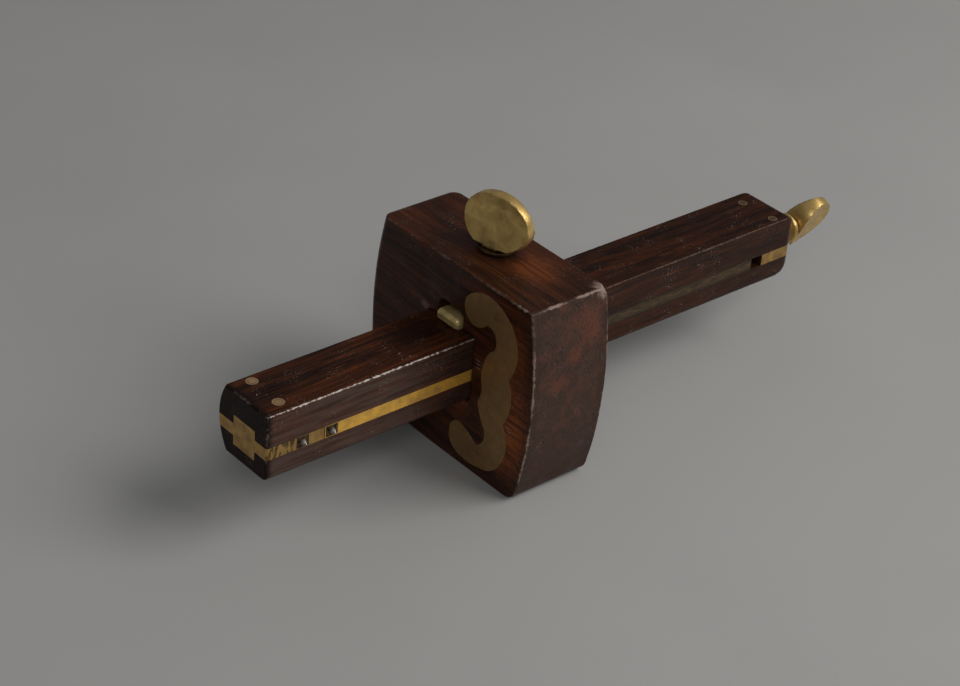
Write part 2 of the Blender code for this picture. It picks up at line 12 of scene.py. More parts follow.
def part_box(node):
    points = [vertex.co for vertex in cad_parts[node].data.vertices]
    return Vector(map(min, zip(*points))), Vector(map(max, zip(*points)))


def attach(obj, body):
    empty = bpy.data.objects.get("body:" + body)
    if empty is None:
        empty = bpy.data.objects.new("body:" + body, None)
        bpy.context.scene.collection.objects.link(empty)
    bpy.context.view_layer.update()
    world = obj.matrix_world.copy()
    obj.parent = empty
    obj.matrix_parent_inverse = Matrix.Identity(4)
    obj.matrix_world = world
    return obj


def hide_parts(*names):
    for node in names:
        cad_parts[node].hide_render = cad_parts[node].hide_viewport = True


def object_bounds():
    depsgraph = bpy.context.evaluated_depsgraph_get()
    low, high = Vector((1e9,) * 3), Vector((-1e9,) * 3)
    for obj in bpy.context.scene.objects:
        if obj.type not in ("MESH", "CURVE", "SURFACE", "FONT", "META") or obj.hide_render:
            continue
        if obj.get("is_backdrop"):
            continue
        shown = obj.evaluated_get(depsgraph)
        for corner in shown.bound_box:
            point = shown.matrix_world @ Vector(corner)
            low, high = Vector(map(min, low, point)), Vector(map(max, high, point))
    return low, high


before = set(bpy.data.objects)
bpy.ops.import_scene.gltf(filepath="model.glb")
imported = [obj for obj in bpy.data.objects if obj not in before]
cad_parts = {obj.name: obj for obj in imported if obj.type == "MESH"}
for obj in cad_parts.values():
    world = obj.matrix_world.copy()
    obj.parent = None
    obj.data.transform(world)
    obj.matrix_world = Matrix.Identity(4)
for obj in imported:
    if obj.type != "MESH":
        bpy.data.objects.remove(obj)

bl_info = {
    "name": "Marking Gauge",
    "version": (1, 0, 0),
    "blender": (4, 5, 0),
    "location": "View3D > Sidebar > Gauge",
    "description": "Builds the worn rosewood and brass pieces of a mortise marking gauge",
    "category": "Add Mesh",
}

MM = 0.001
CAD_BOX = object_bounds()

FENCE_LOW, FENCE_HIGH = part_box("fence_block")
UPPER_LOW, UPPER_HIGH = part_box("stem_upper")
LOWER_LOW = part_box("stem_lower")[0]
CORE_LOW, CORE_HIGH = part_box("slide_bar")
FRONT_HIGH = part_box("front_block")[1]
REAR_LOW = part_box("rear_block")[0]
SCREW_LOW, SCREW_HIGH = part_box("adjust_screw")
LOCK_LOW, LOCK_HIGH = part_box("lock_screw")
BUSH_LOW, BUSH_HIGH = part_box("lock_bush")
SHOE_LOW, SHOE_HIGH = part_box("pressure_shoe")
PLATE_LOW, PLATE_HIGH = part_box("wear_plate")

CORE_Z = (CORE_LOW.z + CORE_HIGH.z) / 2
STEM_FRONT, STEM_REAR = UPPER_LOW.x, UPPER_HIGH.x
SPUR_FACE = UPPER_LOW.y
STEM_TOP, STEM_BOTTOM = UPPER_HIGH.z, LOWER_LOW.z
BOW_MIDDLE = UPPER_HIGH.y - 0.05 * MM
BOW_TOP, BOW_BOTTOM = 9.1 * MM, 8.1 * MM
STRIP_HALF = 1.88 * MM
CORE_HALF_WIDTH, CORE_HALF_HEIGHT = 4.8 * MM, (CORE_HIGH.z - CORE_LOW.z) / 2
LOCK_AXIS = Vector(((BUSH_LOW.x + BUSH_HIGH.x) / 2, 0, 0))
LOCK_HEAD_TURN = math.radians(12.9)
ADJUST_HEAD_TURN = math.radians(116.0)


# ---------------------------------------------------------------- mesh helpers

def finished(name, builder, finish, body, *nodes, slot=None):
    """A piece from a bmesh: its finish, the body that it rides on and the nodes that it stands for."""
    mesh = bpy.data.meshes.new(name)
    builder.to_mesh(mesh)
    builder.free()
    obj = bpy.data.objects.new(name, mesh)
    bpy.context.scene.collection.objects.link(obj)
    mesh.materials.append(material(finish))
    if nodes:
        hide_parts(*nodes)
    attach(obj, body)
    return obj


def mesh_of(obj):
    """A bmesh with a copy of an object's mesh."""
    builder = bmesh.new()
    builder.from_mesh(obj.data)
    return builder


def baked(obj):
    """Puts the result of a piece's modifiers into its mesh."""
    depsgraph = bpy.context.evaluated_depsgraph_get()
    depsgraph.update()
    mesh = bpy.data.meshes.new_from_object(obj.evaluated_get(depsgraph), depsgraph=depsgraph)
    obj.modifiers.clear()
    obj.data = mesh


def combined(obj, builders, operation="DIFFERENCE"):
    """Cuts or joins bmesh solids with a piece, one after another."""
    for builder in builders:
        bmesh.ops.recalc_face_normals(builder, faces=builder.faces)
        mesh = bpy.data.meshes.new("tool")
        builder.to_mesh(mesh)
        builder.free()
        tool = bpy.data.objects.new("tool", mesh)
        bpy.context.scene.collection.objects.link(tool)
        modifier = obj.modifiers.new("cut", "BOOLEAN")
        modifier.operation = operation
        modifier.solver = "EXACT"
        modifier.object = tool
        baked(obj)
        bpy.data.objects.remove(tool)
    return obj


def eased(obj, width, segments=3, angle=28.0, clamp=False):
    """Rounds a piece's sharp edges a little, and keeps its flats flat."""
    modifier = obj.modifiers.new("ease", "BEVEL")
    modifier.width = width
    modifier.segments = segments
    modifier.limit_method = "ANGLE"
    modifier.angle_limit = math.radians(angle)
    modifier.use_clamp_overlap = clamp
    modifier.miter_outer = "MITER_ARC"
    baked(obj)
    return smoothed(obj)


def smoothed(obj, angle=35.0):
    obj.data.shade_smooth()
    obj.data.set_sharp_from_angle(angle=math.radians(angle))
    modifier = obj.modifiers.new("flats", "WEIGHTED_NORMAL")
    modifier.keep_sharp = True
    modifier.weight = 80
    baked(obj)
    return obj


def circle(start, via, end):
    """The centre and the radius of the circle through three points."""
    (ax, ay), (bx, by), (cx, cy) = start, via, end
    d = 2 * (ax * (by - cy) + bx * (cy - ay) + cx * (ay - by))
    a2, b2, c2 = ax * ax + ay * ay, bx * bx + by * by, cx * cx + cy * cy
    ux = (a2 * (by - cy) + b2 * (cy - ay) + c2 * (ay - by)) / d
    uy = (a2 * (cx - bx) + b2 * (ax - cx) + c2 * (bx - ax)) / d
    return ux, uy, math.hypot(ax - ux, ay - uy)


def arc(start, via, end, steps):
    """Points on the circle through three points, from start to just before end."""
    ux, uy, radius = circle(start, via, end)
    first, middle, last = (math.atan2(y - uy, x - ux) for x, y in (start, via, end))
    sweep = (last - first) % math.tau
    if (middle - first) % math.tau > sweep:
        sweep -= math.tau
    angles = (first + sweep * i / steps for i in range(steps))
    return [(ux + radius * math.cos(t), uy + radius * math.sin(t)) for t in angles]


def grown(outline, distance):
    """A counter-clockwise outline moved outwards by a distance."""
    result = []
    for i, here in enumerate(outline):
        point = Vector(here)
        before = (point - Vector(outline[i - 1])).normalized()
        after = (Vector(outline[(i + 1) % len(outline)]) - point).normalized()
        normal = Vector((before.y, -before.x)) + Vector((after.y, -after.x))
        spread = max(normal.length_squared / 2, 0.5)
        result.append(tuple(point + normal * (distance / spread)))
    return result


def rounded(outline, radii, steps=6):
    """An outline whose corners are rounded: radii gives each corner's radius, 0 for a sharp one."""
    result = []
    for i, (here, radius) in enumerate(zip(outline, radii)):
        point = Vector(here)
        if not radius:
            result.append(here)
            continue
        before = (Vector(outline[i - 1]) - point).normalized()
        after = (Vector(outline[(i + 1) % len(outline)]) - point).normalized()
        half = before.angle(after) / 2
        centre = point + (before + after).normalized() * (radius / math.sin(half))
        start = point + before * (radius / math.tan(half))
        end = point + after * (radius / math.tan(half))
        via = centre + (point - centre).normalized() * radius
        result += arc(tuple(start), tuple(via), tuple(end), steps) + [tuple(end)]
    return result


def lofted(sections):
    """A bmesh through (x, outline) sections, which all have the same number of Y, Z points."""
    builder = bmesh.new()
    x, outline = sections[0]
    face = builder.faces.new([builder.verts.new((x, *point)) for point in outline])
    for x, outline in sections[1:]:
        order = {tuple(v.co): i for i, v in enumerate(face.verts)}
        part = bmesh.ops.extrude_face_region(builder, geom=[face])["geom"]
        for vert in (g for g in part if isinstance(g, bmesh.types.BMVert)):
            vert.co = (x, *outline[order[tuple(vert.co)]])
        if face.is_valid and len(builder.faces) > len(outline) + 2:
            bmesh.ops.delete(builder, geom=[face], context="FACES_ONLY")
        face = next(g for g in part if isinstance(g, bmesh.types.BMFace))
        by_place = {tuple(v.co): v for v in face.verts}
        loop = [by_place[tuple(Vector((x, *point)))] for point in outline]
        builder.faces.remove(face)
        face = builder.faces.new(loop)
    bmesh.ops.recalc_face_normals(builder, faces=builder.faces)
    if builder.calc_volume(signed=True) < 0:
        bmesh.ops.reverse_faces(builder, faces=builder.faces)
    return builder


def drawn(outline, start, end, axis="X"):
    """A bmesh of a flat outline drawn along an axis: Y, Z outlines along X and X, Z outlines along Y."""
    builder = bmesh.new()
    place = {"X": lambda u, v: (start, u, v), "Y": lambda u, v: (u, start, v)}[axis]
    pull = {"X": Vector((1, 0, 0)), "Y": Vector((0, 1, 0))}[axis] * (end - start)
    face = builder.faces.new([builder.verts.new(place(*point)) for point in outline])
    part = bmesh.ops.extrude_face_region(builder, geom=[face])["geom"]
    bmesh.ops.translate(builder, verts=[g for g in part if isinstance(g, bmesh.types.BMVert)], vec=pull)
    bmesh.ops.recalc_face_normals(builder, faces=builder.faces)
    return builder


def block(low, high):
    builder = bmesh.new()
    bmesh.ops.create_cube(builder, size=1.0)
    bmesh.ops.scale(builder, vec=Vector(high) - Vector(low), verts=builder.verts)
    bmesh.ops.translate(builder, vec=(Vector(high) + Vector(low)) / 2, verts=builder.verts)
    return builder


def rod(radius, start, end, segments=64):
    builder = bmesh.new()
    axis = Vector(end) - Vector(start)
    turn = axis.to_track_quat("Z", "Y").to_matrix().to_4x4()
    place = Matrix.Translation((Vector(start) + Vector(end)) / 2) @ turn
    bmesh.ops.create_cone(
        builder, cap_ends=True, segments=segments,
        radius1=radius, radius2=radius, depth=axis.length, matrix=place,
    )
    return builder


def turned(profile, segments=96, matrix=Matrix.Identity(4)):
    """A bmesh turned about Z from (radius, height) points, then put in place."""
    builder = bmesh.new()
    verts = [builder.verts.new((radius, 0, height)) for radius, height in profile]
    edges = [builder.edges.new(pair) for pair in zip(verts, verts[1:])]
    bmesh.ops.spin(
        builder, geom=verts + edges, cent=(0, 0, 0), axis=(0, 0, 1),
        angle=math.tau, steps=segments, use_merge=True,
    )
    bmesh.ops.remove_doubles(builder, verts=builder.verts, dist=0.0005 * MM)
    bmesh.ops.recalc_face_normals(builder, faces=builder.faces)
    bmesh.ops.transform(builder, matrix=matrix, verts=builder.verts)
    return builder


def thread(radius, depth, pitch, start, end, matrix, steps=36):
    """A right-hand screw thread: a pointed ridge wound about Z from start to end."""
    builder = bmesh.new()
    half = pitch * 0.36
    corners = [(radius - depth * 1.3, -half), (radius, -half * 0.15), (radius, half * 0.15)]
    corners.append((radius - depth * 1.3, half))
    verts = [builder.verts.new((r, 0, start + z)) for r, z in corners]
    face = builder.faces.new(verts)
    turns = (end - start) / pitch
    count = int(steps * turns)
    bmesh.ops.spin(
        builder, geom=verts + list(face.edges) + [face], cent=(0, 0, 0), axis=(0, 0, 1),
        dvec=(0, 0, (end - start) / count), angle=math.tau * turns, steps=count,
    )
    bmesh.ops.recalc_face_normals(builder, faces=builder.faces)
    bmesh.ops.transform(builder, matrix=matrix, verts=builder.verts)
    return builder


def threaded(piece, ridge):
    """Adds a thread's ridge to a piece."""
    builder = mesh_of(piece)
    mesh = bpy.data.meshes.new("ridge")
    ridge.to_mesh(mesh)
    ridge.free()
    builder.from_mesh(mesh)
    bpy.data.meshes.remove(mesh)
    builder.to_mesh(piece.data)
    builder.free()
    return smoothed(piece)


# ---------------------------------------------------------------- node helpers

class Tree:
    """Short ways to add and join shader nodes. Every position inside a material is in millimetres."""

    def __init__(self, tree):
        self.tree = tree

    def node(self, kind, **settings):
        node = self.tree.nodes.new("ShaderNode" + kind)
        for name, value in settings.items():
            setattr(node, name, value)
        return node

    def feed(self, socket, value):
        if isinstance(value, bpy.types.NodeSocket):
            self.tree.links.new(value, socket)
        elif socket.type == "RGBA":
            socket.default_value = (*value, 1.0)
        else:
            socket.default_value = value

    def math(self, operation, *values, clamp=False):
        node = self.node("Math", operation=operation, use_clamp=clamp)
        for socket, value in zip(node.inputs, values):
            self.feed(socket, value)
        return node.outputs[0]

    plus = partialmethod(math, "ADD")
    minus = partialmethod(math, "SUBTRACT")
    times = partialmethod(math, "MULTIPLY")
    over = partialmethod(math, "DIVIDE")
    power = partialmethod(math, "POWER")
    size = partialmethod(math, "ABSOLUTE")
    most = partialmethod(math, "MAXIMUM")
    least = partialmethod(math, "MINIMUM")

    def vector(self, operation, *values):
        node = self.node("VectorMath", operation=operation)
        for socket, value in zip(node.inputs, values):
            self.feed(socket, value)
        return node.outputs["Value" if operation == "LENGTH" else "Vector"]

    scaled = partialmethod(vector, "MULTIPLY")
    shifted = partialmethod(vector, "ADD")

    def combined(self, *values):
        node = self.node("CombineXYZ")
        for socket, value in zip(node.inputs, values):
            self.feed(socket, value)
        return node.outputs[0]

    def split(self, vector):
        node = self.node("SeparateXYZ")
        self.feed(node.inputs[0], vector)
        return node.outputs

    def noise(self, vector, scale=1.0, detail=2.0, roughness=0.5, color=False):
        node = self.node("TexNoise")
        for name, value in (
            ("Vector", vector), ("Scale", scale), ("Detail", detail), ("Roughness", roughness),
        ):
            self.feed(node.inputs[name], value)
        return node.outputs["Color" if color else "Fac"]

    def between(self, value, low, high, to_low=0.0, to_high=1.0):
        """A smooth step of value from low to high."""
        node = self.node("MapRange", interpolation_type="SMOOTHSTEP")
        for name, number in (
            ("Value", value), ("From Min", low), ("From Max", high),
            ("To Min", to_low), ("To Max", to_high),
        ):
            self.feed(node.inputs[name], number)
        return node.outputs["Result"]

    def mix(self, factor, first, second):
        node = self.node("Mix", data_type="RGBA")
        for socket, value in ((0, factor), (6, first), (7, second)):
            self.feed(node.inputs[socket], value)
        return node.outputs[2]

    def tinted(self, color, mask, strength, shade):
        return self.mix(self.times(mask, strength), color, shade)

    def blend(self, factor, first, second):
        """A number between first and second."""
        node = self.node("Mix", data_type="FLOAT")
        for socket, value in ((0, factor), (2, first), (3, second)):
            self.feed(node.inputs[socket], value)
        return node.outputs[0]

    def group(self, name, **values):
        node = self.node("Group")
        node.node_tree = bpy.data.node_groups[name]
        for key, value in values.items():
            self.feed(node.inputs[key.replace("_", " ")], value)
        return node.outputs


    def patch(self, position, centre, radii, ragged):
        """A soft spot with a ragged rim, from the group of that name."""
        values = {"Position": position, "Centre": centre, "Radii": radii, "Ragged": ragged}
        return self.group("Patch", **values)["Mask"]


SOCKETS = {"V": "NodeSocketVector", "F": "NodeSocketFloat", "C": "NodeSocketColor"}


def new_group(name, inputs, outputs):
    """A shader node group's tree, inputs and outputs, from socket names and kinds such as {"Width": "F"}."""
    tree = bpy.data.node_groups.new(name, "ShaderNodeTree")
    for side, sockets in (("INPUT", inputs), ("OUTPUT", outputs)):
        for label, kind in sockets.items():
            tree.interface.new_socket(label, in_out=side, socket_type=SOCKETS[kind])
    return Tree(tree), tree.nodes.new("NodeGroupInput").outputs, tree.nodes.new("NodeGroupOutput").inputs


def build_groups():
    """The effects that more than one material uses."""
    t, i, o = new_group(
        "Rosewood Grain",
        {"Position": "V", "Dark": "C", "Brown": "C", "Red": "C", "Figure": "F", "Streaks": "F"},
        {"Color": "C", "Height": "F", "Pore": "F"},
    )
    # The grain runs along X. Slow waves bend it; fine fibres and short open pores lie along it.
    bend = t.noise(t.scaled(i["Position"], (0.012, 0.05, 0.05)), 1, 1, color=True)
    bend = t.vector("SUBTRACT", bend, (0.5, 0.5, 0.5))
    along = t.shifted(i["Position"], t.scaled(bend, (0, 9, 9)))
    figure = t.noise(t.scaled(along, (0.012, 0.22, 0.22)), 1, 3, 0.55)
    bands = t.noise(t.scaled(along, (0.02, 0.9, 0.9)), 1, 4, 0.6)
    fibre = t.noise(t.scaled(along, (0.07, 3.2, 3.2)), 1, 3, 0.65)
    tone = t.plus(t.times(figure, 0.55), t.times(bands, 0.45))
    tone = t.plus(tone, t.times(t.minus(fibre, 0.5), i["Streaks"]))
    base = t.mix(t.between(tone, 0.34, 0.56), i["Dark"], i["Brown"])
    base = t.mix(t.times(t.between(tone, 0.53, 0.70), i["Figure"], clamp=True), base, i["Red"])
    black = t.noise(t.scaled(along, (0.018, 0.55, 0.55)), 1, 2, 0.5)
    base = t.mix(t.between(black, 0.56, 0.66, 0.0, 0.6), base, i["Dark"])
    pores = t.noise(t.scaled(along, (0.30, 5.5, 5.5)), 1, 2, 0.6)
    pore = t.between(pores, 0.60, 0.70)
    t.feed(o["Color"], t.mix(t.times(pore, 0.55), base, i["Dark"]))
    t.feed(o["Height"], t.minus(t.times(fibre, 0.35), t.times(pore, 0.8)))
    t.feed(o["Pore"], pore)

    t, i, o = new_group(
        "Edge Wear", {"Position": "V", "Distance": "F", "Width": "F", "Gaps": "F"}, {"Wear": "F"}
    )
    # A worn line along an edge: its width wanders, and it fades out in stretches.
    wander = t.noise(i["Position"], 0.9, 4, 0.65)
    width = t.times(i["Width"], t.between(wander, 0.35, 0.75, 0.35, 1.5))
    line = t.minus(1.0, t.between(t.over(i["Distance"], width), 0.35, 1.0))
    stretch = t.between(t.noise(i["Position"], 0.11, 3, 0.6), i["Gaps"], t.plus(i["Gaps"], 0.16))
    t.feed(o["Wear"], t.times(line, stretch, clamp=True))

    t, i, o = new_group(
        "Patch", {"Position": "V", "Centre": "V", "Radii": "V", "Ragged": "F"}, {"Mask": "F"}
    )
    # A soft ellipsoid of 1 at its centre and 0 outside its radii, with a ragged rim.
    away = t.vector("SUBTRACT", i["Position"], i["Centre"])
    away = t.vector("LENGTH", t.vector("DIVIDE", away, i["Radii"]))
    rag = t.times(t.minus(t.noise(i["Position"], 0.7, 5, 0.65), 0.5), i["Ragged"])
    t.feed(o["Mask"], t.between(t.plus(away, rag), 1.0, 0.25))

    t, i, o = new_group("Scratches", {"Position": "V", "Amount": "F"}, {"Mask": "F"})
    # Sparse hair lines in two directions, each broken into short lengths.
    masks = []
    for turn, pace in ((0.5, 3.6), (-0.95, 4.4)):
        mapping = t.node("Mapping", vector_type="TEXTURE")
        t.feed(mapping.inputs["Vector"], i["Position"])
        mapping.inputs["Rotation"].default_value = (turn, turn * 0.7, turn)
        lines = t.noise(t.scaled(mapping.outputs[0], (0.12, pace, pace)), 1, 0)
        masks.append(t.between(lines, 0.74, 0.79))
    where = t.between(t.noise(i["Position"], 0.16, 2), 0.50, 0.68)
    mask = t.times(t.most(*masks), where)
    t.feed(o["Mask"], t.times(mask, i["Amount"], clamp=True))

    t, i, o = new_group(
        "Brass Patina",
        {"Position": "V", "Bright": "C", "Dull": "C", "Dirt": "C", "Tarnish": "F", "Specks": "F"},
        {"Color": "C", "Roughness": "F", "Height": "F"},
    )
    # Handled brass: cloudy tarnish, fine rubbing lines and dark specks of old dirt.
    cloud = t.noise(i["Position"], 0.28, 6, 0.62)
    grainy = t.noise(i["Position"], 3.1, 4, 0.7)
    amount = t.plus(t.times(t.minus(cloud, 0.5), 2.2), i["Tarnish"])
    amount = t.plus(amount, t.times(t.minus(grainy, 0.5), 0.55), clamp=True)
    color = t.mix(amount, i["Bright"], i["Dull"])
    speck = t.noise(i["Position"], 1.9, 5, 0.75)
    speck = t.times(t.between(speck, 0.60, 0.68), i["Specks"], clamp=True)
    t.feed(o["Color"], t.mix(speck, color, i["Dirt"]))
    rough = t.blend(amount, 0.26, 0.46)
    rough = t.plus(rough, t.times(t.minus(grainy, 0.5), 0.25))
    t.feed(o["Roughness"], t.blend(speck, rough, 0.75))
    dents = t.times(t.noise(i["Position"], 0.5, 3), 0.6)
    t.feed(o["Height"], t.minus(t.plus(dents, t.times(grainy, 0.25)), speck))


def new_material(name):
    """A node material: its tree, its shader and the object position in millimetres."""
    material = bpy.data.materials.new(name)
    material.use_nodes = True
    t = Tree(material.node_tree)
    shader = material.node_tree.nodes["Principled BSDF"]
    position = t.scaled(t.node("TexCoord").outputs["Object"], (1000.0, 1000.0, 1000.0))
    return material, t, shader, position


def bumped(t, shader, height, strength, distance):
    bump = t.node("Bump")
    bump.inputs["Strength"].default_value = strength
    bump.inputs["Distance"].default_value = distance
    t.feed(bump.inputs["Height"], height)
    t.feed(shader.inputs["Normal"], bump.outputs["Normal"])


def rubbed(t, shader, position, grain, scratch, marks, polish, gloss, strength):
    """The surface of handled wood: polish is the pace and the two ends of its roughness."""
    pace, smooth, dull = polish
    rough = t.between(t.noise(position, pace, 4, 0.6), 0.3, 0.7, smooth, dull)
    rough = t.plus(rough, t.times(grain["Pore"], 0.2))
    t.feed(shader.inputs["Roughness"], t.blend(marks, rough, 0.6))
    shader.inputs["Specular IOR Level"].default_value = gloss
    height = t.plus(grain["Height"], t.times(t.noise(position, 0.25, 3), 1.5))
    bumped(t, shader, t.minus(height, t.times(scratch, 1.2)), strength, 0.08 * MM)


def mm(vector):
    return tuple(c / MM for c in vector)


def colours():
    return bpy.context.scene.gauge_colours


def fence_rosewood():
    """The fence's wood, its grain along Y, so that its two bowed ends show end grain."""
    material, t, shader, position = new_material("fence_finish")
    c = colours()
    x, y, z = t.split(position)
    grain = t.group(
        "Rosewood Grain", Position=t.combined(y, x, z), Dark=c.rosewood_dark,
        Brown=c.rosewood_brown, Red=c.rosewood_red, Figure=0.9, Streaks=0.5,
    )
    color = grain["Color"]
    # Paler orange figure: a flame on the top beside the screw, and the foot of the front face.
    for centre, radii, strength in (
        ((-26, -14, 63), (8, 15, 4), 0.45), ((-43, -27, 22), (5, 12, 20), 0.85),
        ((-43, -27, 46), (4, 8, 14), 0.45), ((-43, -3, 20), (4, 10, 6), 0.5),
        ((-20, 12, 63), (10, 18, 4), 0.12),
    ):
        streaks = t.noise(t.scaled(position, (0.9, 0.06, 0.9)), 1, 3, 0.6)
        streaky = t.times(t.patch(position, centre, radii, 0.9), t.between(streaks, 0.36, 0.62, 0.25))
        color = t.tinted(color, streaky, strength, c.rosewood_orange)
    # A painted shadow round the screw's foot under its head, dust by the shoe and a few knife marks beside the
    # plate.
    for centre, radii, strength, shade in (
        ((-27.7, -3.5, 62.5), (8, 9, 2.5), 0.8, c.rosewood_dark),
        ((-43, 11.3, 43.4), (2.5, 2.6, 1.8), 0.35, c.worn_wood),
        ((-43, 4.0, 60.0), (3, 22, 3), 0.35, c.rosewood_dark),
        ((-20, -26, 63), (14, 12, 3), 0.45, c.rosewood_dark),
        ((-22, 24, 63), (22, 14, 3), 0.35, c.rosewood_dark),
    ):
        color = t.tinted(color, t.patch(position, centre, radii, 1.0), strength, shade)
    for place in (
        (-12.9, 37.4, 1.7), (-13.1, 36.2, 1.9), (-13.4, 35.0, 1.4), (-27.6, 22.9, 1.9), (-28.0, 21.6, 1.2)
    ):
        mark = t.patch(position, (-43, *place[:2]), (1, place[2], 0.22), 0.0)
        color = t.tinted(color, mark, 0.8, c.worn_wood)
    # End grain: darker, grey with handling, with reddish islands.
    half = FENCE_HIGH.y / MM
    bow = t.times(t.power(t.size(t.minus(z, 32.0)), 2.0), 0.0041)
    inset = t.minus(t.minus(half, bow), t.size(y))
    end = t.between(inset, 1.0, 0.25)
    mottle = t.noise(position, 0.22, 5, 0.6)
    grey = t.mix(t.between(mottle, 0.45, 0.70, 0.0, 0.6), c.end_grain_grey, c.end_grain_red)
    for centre, radii in (
        ((-28, -36, 46), (4, 3, 4)), ((-34, -36, 38.5), (4.5, 3, 4)), ((-22, -34, 53), (6, 3, 9))
    ):
        grey = t.tinted(grey, t.patch(position, centre, radii, 1.1), 0.75, c.end_grain_red)
    dots = t.noise(t.scaled(position, (1.0, 0.2, 0.5)), 2.2, 4, 0.7)
    grey = t.mix(t.between(dots, 0.50, 0.68, 0.0, 0.8), grey, c.rosewood_dark)
    low = t.between(z, 24.0, 2.0, 0.0, 0.45)
    grey = t.tinted(grey, low, t.between(mottle, 0.35, 0.6), c.rosewood_dark)
    color = t.mix(end, color, grey)
    # Worn arrises: the middle of the three distances to the faces is the distance to the nearest one.
    centre = (FENCE_LOW + FENCE_HIGH) / 2
    size = (FENCE_HIGH - FENCE_LOW) / 2
    depth = t.minus(size.x / MM, t.size(t.minus(x, centre.x / MM)))
    up = t.least(t.minus(FENCE_HIGH.z / MM, z), z)
    distance = t.most(t.least(depth, inset), t.least(t.most(depth, inset), up))
    dark_rim = t.between(distance, 4.5, 0.5, 0.0, 0.4)
    color = t.tinted(color, dark_rim, t.noise(position, 0.35, 3), c.rosewood_dark)
    wear = t.group("Edge Wear", Position=position, Distance=distance, Width=0.75, Gaps=0.40)["Wear"]
    wear = t.times(wear, t.between(y, -20.0, -31.0, 0.25, 0.85))
    knock = t.patch(position, (-16.5, -31.5, 61.5), (3.6, 3.6, 3.2), 1.3)
    wear = t.most(wear, t.times(knock, 0.9))
    scratch = t.group("Scratches", Position=position, Amount=0.55)["Mask"]
    scuffs = t.patch(position, (-18, -20, 62.5), (5, 16, 2.5), 1.2)
    fleck = t.between(t.noise(position, 1.1, 5, 0.8), 0.60, 0.68, 0.0, 0.6)
    scratch = t.most(scratch, t.times(scuffs, fleck))
    color = t.mix(t.most(wear, scratch), color, c.worn_wood)
    t.feed(shader.inputs["Base Color"], color)
    marks = t.most(wear, t.times(end, 0.5))
    rubbed(t, shader, position, grain, scratch, marks, (0.13, 0.26, 0.46), 0.16, 0.5)
    return material


def stem_rosewood():
    """The stem's wood: almost black, with red streaks along X and pale worn arrises on the spur side, which
    carries a painted sheen and a painted highlight.
    """
    material, t, shader, position = new_material("stem_finish")
    c = colours()
    grain = t.group(
        "Rosewood Grain", Position=t.shifted(position, (0, 37, 11)), Dark=c.stem_dark,
        Brown=c.stem_brown, Red=c.stem_red, Figure=0.8, Streaks=0.7,
    )
    color = grain["Color"]
    x, y, z = t.split(position)
    # The spur side is greyer towards the front end: a painted sheen, the grey bench reflected in it.
    face = t.between(y, SPUR_FACE / MM + 0.8, SPUR_FACE / MM + 0.1)
    cloud = t.noise(t.scaled(position, (0.05, 1, 0.9)), 1, 4, 0.6)
    sheen = t.times(face, t.between(cloud, 0.38, 0.62, 0.35, 0.85))
    sheen = t.times(sheen, t.between(x, -50.0, -75.0, 0.35, 1.0))
    color = t.mix(sheen, color, c.stem_sheen)
    color = t.mix(t.between(x, -20.0, 20.0, 0.0, 0.4), color, c.stem_dark)
    # Black on the top in front of the fence, a painted shade from the fence, and at the front end.
    color = t.tinted(color, t.patch(position, (-56, 2, 43), (17, 9, 3), 1.2), 0.75, c.stem_dark)
    front = t.between(x, STEM_FRONT / MM + 2.5, STEM_FRONT / MM + 0.5)
    color = t.tinted(color, front, 0.9, c.stem_dark)
    # Arrises: the upper one on the spur side is worn pale along its whole length, with a painted highlight
    # towards the front end.
    up = t.minus(STEM_TOP / MM, z)
    down = t.minus(z, STEM_BOTTOM / MM)
    side = t.minus(y, SPUR_FACE / MM)
    upper = t.most(up, side)
    wear = t.group("Edge Wear", Position=position, Distance=upper, Width=0.52, Gaps=0.28)["Wear"]
    # Painted highlight along the upper arris, towards the front end.
    highlight = t.times(wear, t.between(x, -45.0, -62.0, 0.0, 0.9))
    ends = t.least(t.minus(x, STEM_FRONT / MM), t.minus(STEM_REAR / MM, x))
    rim = t.most(ends, t.least(t.least(up, down), side))
    rim_wear = t.group("Edge Wear", Position=position, Distance=rim, Width=0.8, Gaps=0.47)["Wear"]
    wear = t.times(wear, t.between(x, 6.0, -10.0, 0.22, 0.85))
    wear = t.most(wear, t.times(rim_wear, 0.35))
    scratch = t.group("Scratches", Position=position, Amount=0.75)["Mask"]
    fleck = t.noise(t.shifted(position, (5, 9, 2)), 1.3, 5, 0.8)
    far = t.patch(position, (62, -9, 41), (36, 12, 9), 0.8)
    fleck = t.times(t.between(fleck, 0.63, 0.70), t.blend(far, 0.05, 0.55))
    marks = t.most(t.most(wear, scratch), fleck)
    color = t.mix(marks, color, c.worn_wood)
    color = t.mix(highlight, color, c.arris_highlight)
    t.feed(shader.inputs["Base Color"], color)
    rubbed(t, shader, position, grain, scratch, marks, (0.12, 0.24, 0.42), 0.08, 0.45)
    return material


def brass(name, marks=None, metal=1.0):
    """A brass finish. marks is a function that adds the marks of one piece to its colour."""
    c = colours()
    bright, dull, tarnish, specks, strength = BRASSES[name]
    bright, dull = getattr(c, bright), getattr(c, dull)
    material, t, shader, position = new_material(name)
    patina = t.group(
        "Brass Patina", Position=position, Bright=bright, Dull=dull,
        Dirt=c.brass_dirt, Tarnish=tarnish, Specks=specks,
    )
    color, rough = patina["Color"], patina["Roughness"]
    if marks:
        color, rough = marks(t, position, color, rough)
    scratch = t.group("Scratches", Position=t.scaled(position, (1.7, 1.7, 1.7)), Amount=0.5)["Mask"]
    t.feed(shader.inputs["Base Color"], t.mix(scratch, color, bright))
    t.feed(shader.inputs["Roughness"], rough)
    shader.inputs["Metallic"].default_value = metal
    bumped(t, shader, t.minus(patina["Height"], t.times(scratch, 0.6)), strength, 0.06 * MM)
    return material


